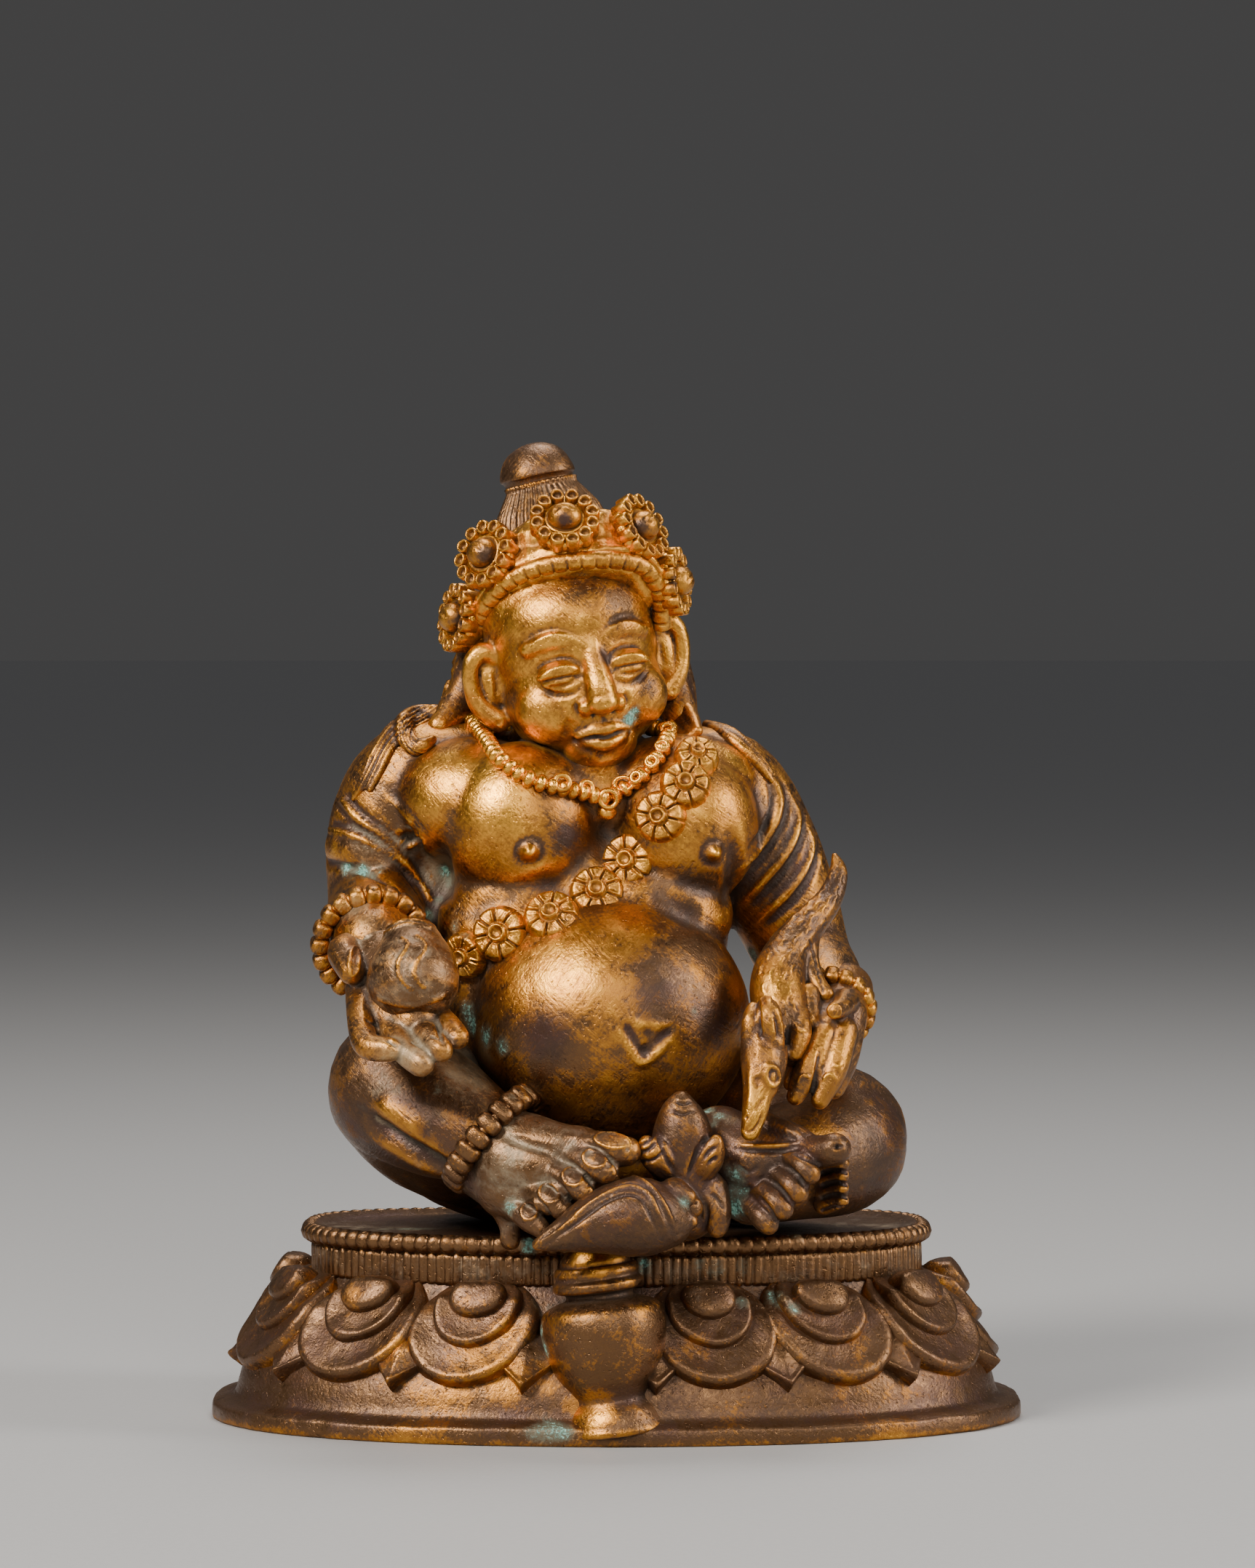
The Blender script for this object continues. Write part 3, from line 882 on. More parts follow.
def necklaceForm(bm):
    met = [onSurface(chestTree, p) for p in necklaceSeen + necklaceBehind]
    path = curveThrough([spot + normal * necklace["lift"] for spot, normal in met], 16, closed=True)
    run = lengthsAlong(path)
    tube(bm, path, necklace["cord"], 8)
    for distance in np.arange(0, run[-1], necklace["spacing"]):
        i = min(max(int(np.searchsorted(run, distance)), 1), len(path) - 1)
        spot = Vector(path[i])
        ahead = Vector(path[i] - path[i - 1]).normalized()
        out = onSurface(chestTree, tuple(spot))[1]
        out = (out - ahead * out.dot(ahead)).normalized()
        turn = Matrix((ahead, out.cross(ahead), out)).transposed().to_4x4()
        place = Matrix.Translation(spot) @ turn @ Matrix.Diagonal((*necklace["bead"], 1))
        bmesh.ops.create_icosphere(bm, subdivisions=3, radius=1.0, matrix=place)
    for pixel, size, squash in pendantsSeen:
        spot, normal = onSurface(chestTree, pixel)
        out = (normal + Vector((0, -0.8, 0))).normalized()
        hoop(bm, facing(spot + normal * 1.7, out) @ Matrix.Diagonal((1, squash, 1.2, 1)), size, 0.42)
    drop, normal = onSurface(chestTree, (833, 1114))
    ball(bm, drop + normal * 0.7, (1.5, 1.2, 1.3), rings=3)


bm = bmesh.new()
necklaceForm(bm)
keep(pieceOf("necklace", bm), gilt=0.85, brown=0.25, warmth=0.3)

flowerShape = {"petals": 8, "grow": 1.05}
flowersSeen = [
    ((957, 1043), 3.3), ((942, 1080), 3.7), ((908, 1123), 3.8), ((865, 1183), 4.0), ((820, 1228), 4.0),
    ((758, 1262), 4.1), ((688, 1284), 4.1), ((642, 1312), 3.5), ((616, 1332), 2.6)]


def flower(bm, place, size):
    petals = flowerShape["petals"]
    rings = [0.1, 0.2, 0.24, 0.29, 0.33, 0.37, 0.4, 0.45, 0.5, 0.6, 0.7, 0.78, 0.84, 0.89, 0.93, 0.97, 1.0]
    profile = [(0, -2.6), (size, -2.6)] + [(size * r, 0.0) for r in reversed(rings)] + [(0, 0)]
    new = turned(bm, profile, Matrix.Identity(4), 112)
    for v in new:
        if v.co.z < -1:
            continue
        r, angle = math.hypot(v.co.x, v.co.y) / size, math.atan2(v.co.y, v.co.x)
        edge = abs(math.sin(0.5 * petals * angle)) * r / 0.7  # nothing at the cut between two petals
        high = 1.35 - 0.25 * r - 1.5 * max(0.0, (r - 0.8) / 0.2) ** 2
        if r > 0.42:  # a raised border on each petal
            high += 0.22 * math.exp(-((edge - 0.42) / 0.13) ** 2) - 0.75 * max(0.0, 1 - edge / 0.3)
        if 0.31 < r <= 0.46:  # the furrow round the middle
            high -= 0.45 * (1 - abs(r - 0.385) / 0.08)
        if 0.17 < r < 0.33:  # the middle's rolled rim
            high += 0.7 * max(0.0, 1 - (abs(r - 0.265) / 0.075) ** 2) ** 0.5 - 0.05
        if r <= 0.2:  # and its dimple
            high -= 0.25
        v.co.z = high
        inward = 1 - 0.09 * max(0.0, 1 - edge / 0.5) * r
        v.co.x, v.co.y = v.co.x * inward, v.co.y * inward
    bmesh.ops.transform(bm, matrix=place, verts=new)


bm = bmesh.new()
for number, (pixel, size) in enumerate(flowersSeen):
    around = [onSurface(chestTree, (pixel[0] + dx, pixel[1] + dy))
              for dx, dy in ((0, 0), (-24, 0), (24, 0), (0, -20), (0, 20))]
    outward = sum((met[1] for met in around), Vector()) / 5 + Vector((0, -0.35, 0.05))
    flower(bm, facing(around[0][0] + outward.normalized() * 0.75, outward, 17 * number), size * flowerShape["grow"])
keep(pieceOf("flowerGarland", bm), gilt=0.8, brown=0.35, warmth=0.2)
print("jewellery")


# The lotus base. Rings are spun round and then fitted to the base's outline
base = {"halfWidth": 62.5, "frontDepth": 37, "backDepth": 33, "frontRoundness": 2.15, "backRoundness": 3.4,
        "platformEdge": 17.7, "stations": 360}
baseProfile = [
    (0.6, 0), (0.15, 0.15), (0, 0.5), (0, 1.3), (0.05, 2.15), (0.25, 2.55), (0.7, 2.75), (2.0, 3.1), (3.3, 3.5),
    (3.8, 4.1), (4.2, 5.6), (5, 8.5), (8, 12.6), (12, 17.8), (16, 22.6), (16.3, 23.4), (16.3, 27), (14.8, 27.6),
    (15.2, 29.2), (16.2, 29.9), (17.7, 29.2)]


def planPoint(angle, inset):
    c, s = math.cos(angle), math.sin(angle)
    depth, power = ((base["frontDepth"], base["frontRoundness"]) if s < 0
                    else (base["backDepth"], base["backRoundness"]))
    return Vector((math.copysign(abs(c) ** (2 / power), c) * (base["halfWidth"] - inset),
                   math.copysign(abs(s) ** (2 / power), s) * (depth - 0.8 * inset), 0))


walk = np.linspace(-math.pi / 2, 1.5 * math.pi, 4001)
walked = lengthsAlong([planPoint(a, 10.5) for a in walk])


def angleAt(distance):  # measured along the outline from the middle of the front
    return float(np.interp(distance % walked[-1], walked, walk))


def ringAround(profile, stations, change, closed=False):
    # profile is (inset, height); past the platform's edge it shrinks to the middle
    bm = bmesh.new()
    spun, edge = 100, base["platformEdge"]
    for v in turned(bm, [(spun - inset, z) for inset, z in profile], Matrix.Identity(4), stations, closed):
        radius = math.hypot(v.co.x, v.co.y)
        share = (math.atan2(v.co.y, v.co.x) / math.tau) % 1.0
        inset, z = change(spun - radius, v.co.z, share)
        angle = angleAt(share * walked[-1])
        onWall = inset < edge + 0.3
        spot = planPoint(angle, inset) if onWall else planPoint(angle, edge) * (radius / (spun - edge))
        v.co = (spot.x, spot.y, z)
    return bm


def unevenFlange(inset, z, share):
    if z > 4 or inset > 3.2:
        return inset, z
    spot = Vector((math.cos(share * math.tau), math.sin(share * math.tau), 0.0))
    wave = noise.noise(spot * 2.6) + 0.5 * noise.noise(spot * 9)
    return inset + 0.45 * abs(wave) + 0.25 * max(0, noise.noise(spot * 30)), z + 0.3 * wave * z / 3


platformTop = [(24, 29.1), (40, 29.1), (70, 29.2), (100, 29.2)]
underside = [(100, 0), (50, 0)]
lotusBase = pieceOf("lotusBase", ringAround(underside + baseProfile + platformTop, base["stations"], unevenFlange))
print("base")

band = {"ribs": 172, "deep": 0.45, "front": 16}
bandProfile = [(17.2, 22.4), (15.6, 22.4), (15.4, 23.0), (15.4, 24.6), (15.4, 26.2), (15.5, 27.2), (17.2, 27.6)]


def ribbed(inset, z, share):  # cut by hand, so no two ribs are quite alike
    if inset >= band["front"]:
        return inset, z
    spot = Vector((60 * math.cos(share * math.tau), 60 * math.sin(share * math.tau), z * 0.15))
    phase = band["ribs"] * share + 0.22 * noise.noise(spot * 0.7)
    deep = band["deep"] * (1 + 0.7 * noise.noise(spot * 0.25))
    return inset + deep * (1 - abs(math.sin(math.pi * phase))) ** 2, z


stamens = pieceOf("stamenBand", ringAround(bandProfile, band["ribs"] * 7, ribbed, closed=True))
roughen(stamens, 3, 0.15, 21.0)

rim = {"beads": 118, "radius": 1.45, "inset": 15.3, "height": 28.6}
rimProfile = [(rim["inset"] + rim["radius"] * math.cos(a), rim["height"] + rim["radius"] * math.sin(a))
              for a in np.linspace(0, math.tau, 11)[:-1]]


def beadSwell(inset, z, share):  # the rod is thick at each bead and thin between two
    swell = 0.74 + 0.3 * abs(math.sin(math.pi * rim["beads"] * share)) ** 0.6
    return rim["inset"] + (inset - rim["inset"]) * swell, rim["height"] + (z - rim["height"]) * swell


rimBeads = pieceOf("rimBeads", ringAround(rimProfile, rim["beads"] * 9, beadSwell, closed=True))

petal = {"pitch": 17.9, "offset": -3.6, "eachSide": 4}
# Profiles from the underside to the top, for a plate one wide and one thick
plateEdge = [
    (0, -3), (1.0, -3), (1.0, -0.1), (0.995, 0.35), (0.975, 0.7), (0.94, 0.93), (0.89, 1.0), (0.83, 0.97), (0.74, 0.88),
    (0.6, 0.84), (0.3, 0.86), (0, 0.88)]
bossEdge = [
    (0, -3), (1.0, -3), (1.0, 0), (0.99, 0.3), (0.95, 0.58), (0.86, 0.78), (0.7, 0.9), (0.5, 0.96), (0.25, 1.0),
    (0, 1.0)]


def petalFrame(step):
    angle = angleAt(petal["offset"] + step * petal["pitch"] / 2)
    upper = planPoint(angle, 16) + Vector((0, 0, 23))
    lower = planPoint(angle, 5) + Vector((0, 0, 8.5))
    across = (planPoint(angle + 0.002, 10) - planPoint(angle - 0.002, 10)).normalized()
    down = (lower - upper).normalized()
    out = across.cross(-down).normalized()
    turn = Matrix((across, -down, out)).transposed().to_4x4()
    return Matrix.Translation((upper + lower) / 2) @ turn, (lower - upper).length


def plate(bm, place, edge, centre, halfWide, halfLong, low, high, fadeFrom, fadeTo, segments=64, keel=0.0, point=0.0):
    # an oval plate, highest at its lower edge, that sinks into the wall towards fadeTo
    new = turned(bm, edge, Matrix.Diagonal((halfWide, halfLong, 1, 1)), segments)
    for v in new:
        v.co.x *= 1 + point * min(v.co.y / halfLong, 0)
        v.co.y += centre
        sunk = min(max((v.co.y - fadeFrom) / (fadeTo - fadeFrom), 0.0), 1.0)
        if v.co.z > -0.5:
            ridgeHigh = keel * max(0.0, 1 - abs(v.co.x) / (halfWide * 0.7))
            v.co.z = (low + v.co.z * high + ridgeHigh) * (1 - sunk) - 0.4 * sunk
    bmesh.ops.transform(bm, matrix=place, verts=new)


# a petal at every even step but the middle one, where the vase stands, and a tip between each two
bm = bmesh.new()
for step in range(-2 * petal["eachSide"] - 1, 2 * petal["eachSide"] + 2):
    place, long = petalFrame(step)
    if step % 2:
        plate(bm, place, plateEdge, -0.27 * long, 5.0, 0.3 * long, -0.5, 1.9, -0.2 * long, 0.1 * long, 32, keel=1.3,
              point=0.85)
    elif step:
        plate(bm, place, plateEdge, 0.02 * long, 9.8, 0.55 * long, 0, 2.3, 0.12 * long, 0.5 * long)
        plate(bm, place, plateEdge, 0.19 * long, 6.5, 0.38 * long, 1.9, 1.5, 0.25 * long, 0.52 * long)
        plate(bm, place, bossEdge, 0.26 * long, 4.3, 0.2 * long, 3.2, 1.8, 0.36 * long, 0.6 * long, 48)
petals = roughen(roughen(pieceOf("lotusPetals", bm), 6, 0.35, 19.0), 2.2, 0.14, 20.0)

vase = {"radius": 9.4, "height": 28.65}
vaseProfile = [
    (0, 0), (0.77, 0), (0.79, 0.06), (0.72, 0.12), (0.6, 0.18), (0.66, 0.23), (0.8, 0.3), (0.93, 0.4), (0.99, 0.5),
    (1, 0.58), (0.93, 0.655), (0.74, 0.69), (0.56, 0.71), (0.55, 0.74), (0.7, 0.755), (0.73, 0.79), (0.66, 0.82),
    (0.68, 0.85), (0.64, 0.88), (0.56, 0.885), (0.54, 0.92), (0.38, 0.98), (0, 1)]
bm = bmesh.new()
turned(bm, smoothProfile([(r * vase["radius"], h * vase["height"]) for r, h in vaseProfile], 5),
       Matrix.Translation((0, -30.8, 1.35)) @ turnOf((-2, -6.8, 0)), 96)
treasureVase = pieceOf("treasureVase", bm)

# gilding, brown wear and bloom
baseTones = [(lotusBase, 0.2, 0.55, 0.15), (stamens, 0.2, 0.35, 0.42), (rimBeads, -0.12, 0.5, 0.25),
             (petals, 0.3, 0.5, 0.15), (treasureVase, 0.3, 0.5, 0.05)]
for piece, gilt, brown, bloom in baseTones:
    piece.data.transform(Matrix.Translation((0, 0, -seat)))
    keep(piece, gilt, brown, bloom, material="base")
print("base pieces")


# The metal. Each piece's points carry its gilding, warmth and bloom in "tone", and its
# verdigris, hollows and brown wear in "age". The shader breaks their edges up with noise.

# Where gilding and wear lie, placed by eye: (picture x, picture y, how far in mm, how much).
# Five numbers give the place as x, y, z.
giltSeen = [
    (776, 716, 2.2, 0.15), (668, 763, 2.2, 0.2), (880, 726, 2.2, 0.15), (630, 850, 2.2, 0.3), (927, 800, 2.2, 0.3),
    (1144, 1215, 4, 0.2), (1120, 1275, 4, 0.35), (700, 1040, 9, 0.95), (640, 1060, 7, 0.8), (690, 1120, 9, 0.95),
    (740, 1205, 6, 0.9), (660, 1180, 7, 0.8), (780, 1150, 5, 0.1), (765, 1100, 5, 0.35), (800, 1120, 4, 0.6),
    (955, 1110, 7, 0.7), (930, 1150, 4, 0.7), (950, 1225, 7, 0.3), (1000, 1190, 5, 0.3), (780, 1320, 9, 0.9),
    (730, 1350, 7, 0.8), (850, 1290, 7, 0.75), (900, 1350, 9, 0.15), (960, 1310, 8, 0.25), (980, 1400, 8, 0.15),
    (820, 1400, 6, 0.5), (750, 1430, 8, 0.15), (880, 1480, 7, 0.5), (960, 1490, 6, 0.55), (700, 1420, 6, 0.35),
    (850, 1350, 5, 0.5), (850, 830, 7, 0.35), (800, 815, 4, 0.5), (700, 830, 6, 0.75), (830, 905, 3, 0.3),
    (800, 1025, 6, 0.45), (705, 965, 4, 0.4), (890, 940, 4, 0.35), (730, 935, 4, 1.0), (745, 900, 5, 0.95),
    (1010, 1040, 7, 0.8), (1050, 1070, 6, 0.5), (1080, 1130, 8, 0.3), (1085, 1210, 8, 0.25), (1140, 1300, 8, 0.3),
    (500, 1150, 10, 0.2), (480, 1230, 8, 0.2), (540, 1090, 7, 0.45), (480, 1100, 6, 0.35), (590, 1080, 6, 0.75),
    (512, 1278, 7, 0.25), (530, 1430, 8, 0.6), (1140, 1440, 8, 0.7), (1060, 1350, 7, 0.8), (1145, 1220, 6, 0.3),
    (1045, 1520, 6, 0.85), (850, 1560, 6, 0.55), (1130, 1560, 6, 0.6), (1040, 1560, 7, 0.75), (900, 1530, 6, 0.3),
    (830, 1640, 9, 0.35), (660, 1880, 8, 0.7), (700, 1900, 6, 0.75), (620, 1945, 9, 0.6), (755, 1890, 4, 0.8),
    (640, 1800, 6, 0.4), (370, 1785, 8, 0.45), (480, 1785, 6, 0.5), (1200, 1945, 14, 0.45), (820, 1735, 7, 0.75),
    (800, 1945, 7, 0.65), (860, 1800, 5, 0.25), (820, 1940, 5, 0.8), (1080, 1795, 6, 0.35), (930, 1800, 6, 0.35),
    (760, 1880, 4, 0.6), (380, 1960, 9, 0.4), (960, 1690, 9, 0.35), (560, 1690, 12, 0.3), (560, 1960, 12, 0.55),
    (1000, 1950, 10, 0.5), (700, 1830, 5, 0.7), (540, 1860, 6, 0.6), (1180, 1860, 6, 0.5), (950, 1860, 5, 0.5),
    (1090, 1850, 5, 0.5), (660, 1080, 8, 0.95), (620, 1040, 5, 0.85)]
brownSeen = [
    (776, 716, 2.2, 0.75), (668, 763, 2.2, 0.7), (880, 726, 2.2, 0.8), (630, 850, 2.2, 0.6), (927, 800, 2.2, 0.6),
    (1144, 1215, 4, 0.75), (1122, 1275, 4, 0.6), (1040, 1435, 3, 0.6), (780, 1150, 5, 0.9), (950, 1225, 7, 0.65),
    (850, 835, 8, 0.45), (910, 1360, 10, 0.65), (985, 1400, 7, 0.8), (750, 1430, 8, 0.85), (1080, 1150, 9, 0.7),
    (1090, 1220, 8, 0.75), (560, 1580, 12, 0.9), (480, 1540, 8, 0.8), (620, 1625, 7, 0.85), (1210, 1600, 13, 0.8),
    (1230, 1540, 8, 0.7), (800, 1025, 5, 0.7), (830, 905, 3, 0.7), (700, 1040, 9, 0.1), (690, 1120, 8, 0.1),
    (780, 1320, 8, 0.15), (1000, 1200, 5, 0.7), (850, 1800, 6, 0.6), (1060, 1620, 9, 0.75), (700, 970, 3, 0.7),
    (895, 940, 4, 0.7), (1150, 1330, 8, 0.7), (460, 1480, 6, 0.5)]
bloomSeen = [
    (-27, -16, 23, 12, 0.8), (-22, -22, 16, 8, 0.8), (-37, -8, 22, 9, 0.6), (-20, -8, 26, 7, 0.7), (512, 1278, 7, 0.6),
    (470, 1450, 9, 0.5), (590, 1540, 6, 0.45), (500, 1180, 9, 0.65), (485, 1250, 8, 0.75), (560, 1150, 6, 0.55),
    (610, 1190, 6, 0.8), (620, 1260, 5, 0.55), (560, 1450, 11, 0.75), (640, 1480, 9, 0.8), (680, 1520, 8, 0.75),
    (700, 1600, 9, 0.65), (760, 1560, 6, 0.5), (520, 1500, 8, 0.55), (665, 1440, 6, 0.75), (640, 1330, 5, 0.5),
    (970, 1740, 12, 0.45), (700, 1740, 12, 0.4), (500, 1740, 10, 0.35), (1050, 1790, 8, 0.45), (960, 1790, 6, 0.4),
    (740, 1820, 5, 0.4), (500, 1690, 22, 0.5), (1180, 1685, 22, 0.5), (1300, 1700, 14, 0.45), (640, 1700, 14, 0.5),
    (590, 1780, 7, 0.35), (1000, 1540, 5, 0.5), (470, 1400, 7, 0.35), (730, 970, 2, 0.2)]
warmSeen = [
    (660, 1030, 5, 0.8), (690, 1065, 4, 0.7), (760, 1105, 4, 0.7), (850, 1120, 5, 0.6), (960, 1010, 5, 0.8),
    (880, 1140, 4, 0.7), (780, 1240, 4, 0.7), (720, 1265, 4, 0.6), (700, 775, 5, 0.8), (840, 745, 6, 0.9),
    (905, 760, 5, 0.9), (660, 850, 4, 0.7), (920, 930, 4, 0.6), (650, 960, 4, 0.7), (1020, 1280, 5, 0.6),
    (880, 1260, 5, 0.5), (990, 1350, 5, 0.5), (1060, 1440, 4, 0.4), (1180, 1640, 6, 0.4), (370, 1785, 6, 0.5),
    (480, 1785, 5, 0.6), (590, 1800, 5, 0.4), (920, 1195, 4, 0.6), (720, 1200, 6, 0.3)]
verdigrisSeen = [
    (866, 990, 1.5, 1.0), (872, 978, 1.1, 1.0), (476, 1194, 1.2, 0.9), (500, 1196, 1.4, 0.9), (520, 1200, 1.1, 0.8),
    (613, 1195, 0.9, 0.8), (618, 1215, 0.9, 0.3), (626, 1274, 1.3, 0.75), (640, 1288, 1.0, 0.6), (586, 1258, 1.0, 0.7),
    (1020, 1296, 2.2, 0.95), (1034, 1312, 1.8, 0.95), (1010, 1280, 1.4, 0.85), (650, 1408, 2.0, 0.85),
    (668, 1424, 2.0, 0.9), (690, 1440, 1.6, 0.85), (640, 1390, 1.5, 0.8), (974, 1526, 1.2, 0.9), (990, 1534, 1.1, 0.7),
    (980, 1545, 0.9, 0.5), (1008, 1660, 2.2, 0.95), (1004, 1685, 1.8, 0.95), (1010, 1615, 1.6, 0.75),
    (1016, 1636, 1.3, 0.75), (730, 1706, 1.6, 1.0), (728, 1720, 1.4, 0.95), (884, 1740, 1.5, 0.8),
    (985, 1745, 1.6, 0.5), (1022, 1738, 1.5, 0.45), (960, 1736, 1.2, 0.45), (1066, 1784, 2.0, 0.7),
    (1090, 1796, 1.6, 0.6), (1020, 1790, 1.4, 0.5), (748, 1800, 1.8, 0.85), (744, 1830, 1.6, 0.8),
    (750, 1856, 1.6, 0.8), (750, 1970, 2.6, 0.8), (775, 1972, 1.8, 0.7), (700, 1660, 1.4, 0.8), (575, 1602, 1.2, 0.7),
    (940, 1655, 1.2, 0.7), (602, 1238, 0.8, 0.4), (560, 1690, 1.8, 0.6), (1100, 1700, 1.8, 0.6), (705, 1508, 1.3, 0.6),
    (725, 1500, 1.2, 0.6), (955, 1390, 0.8, 0.5), (600, 1500, 1.0, 0.5)]
# The same on the sides and back, which aren't seen
giltHidden = [
    (-8, 18, 60, 13, 0.7), (-30, 14, 60, 9, 0.5), (20, 14, 58, 10, 0.55), (-8, 24, 30, 14, 0.35), (22, 16, 30, 9, 0.5),
    (-30, 12, 40, 8, 0.3), (-36, 26, -6, 14, 0.5), (30, 28, -10, 12, 0.5), (-20, 22, 12, 14, 0.25),
    (12, 26, 10, 16, 0.3), (0, 30, 20, 14, 0.35)]
verdigrisHidden = [
    (-16, 18, 48, 3, 0.8), (8, 20, 22, 3, 0.8), (-26, 14, 18, 3.5, 0.85), (24, 12, 16, 3, 0.85),
    (-10, 14, 78, 2.5, 0.85), (-44, 22, -4, 4, 0.8), (20, 30, -4, 4, 0.8), (0, 32, -14, 3, 0.7)]


def smoothedOffset(piece, rounds):  # how far each point lies below its neighbourhood, in mm
    mesh = piece.data
    co, no = readPoints(piece), readPoints(piece, "normal")
    edges = np.empty(len(mesh.edges) * 2, np.int32)
    mesh.edges.foreach_get("vertices", edges)
    a, b = edges[0::2], edges[1::2]
    count = len(co)
    degree = np.maximum(np.bincount(a, minlength=count) + np.bincount(b, minlength=count), 1)
    soft = co.copy()
    for _ in range(rounds):
        soft = np.stack([np.bincount(a, soft[b, i], count) + np.bincount(b, soft[a, i], count) for i in range(3)], 1)
        soft /= degree[:, None]
    return ((soft - co) * no).sum(1)


greenFade = 1.9  # the green fades out round each spot
hollowSense = {"rounds": 7, "least": 0.6, "spread": 5}  # how strongly creases count as hollow


def paintTones():
    clouds = [readPoints(entry["piece"]) for entry in statuePieces]
    boxes = [(cloud.min(0), cloud.max(0)) for cloud in clouds]
    tones = [{name: np.full(len(cloud), float(entry[name])) for name in ("gilt", "warmth", "bloom", "brown")}
             for entry, cloud in zip(statuePieces, clouds)]
    for tone in tones:
        tone["verdigris"] = np.zeros(len(tone["gilt"]))

    def spotOf(where):
        if len(where) == 3:
            return np.array(where, float)
        eye, along = pictureRay(where)
        best = None
        for entry in statuePieces:
            hit, spot, _, _ = entry["piece"].ray_cast(eye, along)
            if hit and (best is None or spot.y < best.y):
                best = spot.copy()
        return None if best is None else np.array(best)

    for name, brushes in (("gilt", giltSeen + giltHidden), ("brown", brownSeen), ("bloom", bloomSeen),
                          ("warmth", warmSeen), ("verdigris", verdigrisSeen + verdigrisHidden)):
        for *where, reach, amount in brushes:
            reach = reach * greenFade if name == "verdigris" else reach
            spot = spotOf(where)
            if spot is None:
                continue
            for tone, cloud, (low, high) in zip(tones, clouds, boxes):
                if (spot < low - reach).any() or (spot > high + reach).any():
                    continue
                near = np.where((np.abs(cloud - spot) < reach).all(1))[0]
                away = np.linalg.norm(cloud[near] - spot, axis=1) / reach
                share = np.clip(1 - away, 0, 1)
                share = share * share * (3 - 2 * share)
                tone[name][near] += (amount - tone[name][near]) * share
    for entry, tone in zip(statuePieces, tones):
        piece = entry["piece"]
        offset = smoothedOffset(piece, hollowSense["rounds"])
        hollow = np.clip(0.5 + offset / max(hollowSense["least"], hollowSense["spread"] * offset.std()), 0, 1)
        alpha = np.ones(len(hollow))
        for layer, parts in (("tone", ("gilt", "warmth", "bloom")), ("age", ("verdigris", None, "brown"))):
            values = np.stack([hollow if part is None else tone[part] for part in parts] + [alpha], 1)
            colours = piece.data.color_attributes.new(layer, "FLOAT_COLOR", "POINT")
            colours.data.foreach_set("color", values.astype(np.float32).ravel())


paintTones()
print("tones painted")

metalColours = {
    "brightGilt": (0.87, 0.42, 0.058, 1), "thinGilt": (0.44, 0.185, 0.034, 1), "copper": (0.185, 0.096, 0.043, 1),
    "darkPatina": (0.05, 0.027, 0.017, 1), "purplePatina": (0.066, 0.032, 0.023, 1),
    "warmCopper": (0.66, 0.265, 0.045, 1), "bloom": (0.35, 0.275, 0.17, 1), "grime": (0.022, 0.015, 0.010, 1),
    "stain": (0.15, 0.185, 0.135, 1), "verdigris": (0.12, 0.33, 0.27, 1), "paleVerdigris": (0.34, 0.58, 0.49, 1)}


metalGrain = {  # how often each pattern repeats in a metre, and the two ways of brushing as (turn, scale)
    "broad": 130, "patchy": 420, "fine": 2100, "pits": 1500, "sweep": 75,
    "brushing": [((15, 38, 10), (150, 260, 2600)), ((-20, -52, 25), (170, 230, 3000))]}
metalRelief = {"strength": 0.8, "distance": 0.0003}


def nodeTools(tree):
    def put(kind, inputs, **settings):
        node = tree.nodes.new(kind)
        for name, value in settings.items():
            setattr(node, name, value)
        for socket, value in inputs.items():
            if isinstance(value, bpy.types.NodeSocket):
                tree.links.new(value, node.inputs[socket])
            else:
                node.inputs[socket].default_value = value
        return node

    def calc(operation, a, b=0.0, clamp=False):
        return put("ShaderNodeMath", {0: a, 1: b}, operation=operation, use_clamp=clamp).outputs[0]

    def total(start, *parts):  # start plus each (value, times); the value is centred on 0.5
        for value, times in parts:
            start = calc("ADD", start, calc("MULTIPLY", calc("SUBTRACT", value, 0.5), times))
        return start

    def blend(share, a, b):
        return put("ShaderNodeMix", {0: share, 6: a, 7: b}, data_type="RGBA").outputs[2]

    def between(value, low, high, top=1.0):
        return put("ShaderNodeMapRange",
                   {"Value": value, "From Min": low, "From Max": high, "To Min": 0.0, "To Max": top},
                   interpolation_type="SMOOTHSTEP").outputs[0]

    def grain(vector, scale, detail, rough=0.55):
        return put("ShaderNodeTexNoise",
                   {"Vector": vector, "Scale": scale, "Detail": detail, "Roughness": rough}).outputs[0]

    def turnedPlace(vector, turn, scale):
        return put("ShaderNodeMapping", {"Vector": vector, "Rotation": [math.radians(a) for a in turn],
                                         "Scale": [1 / size for size in scale]}, vector_type="TEXTURE").outputs[0]

    return put, calc, total, blend, between, grain, turnedPlace


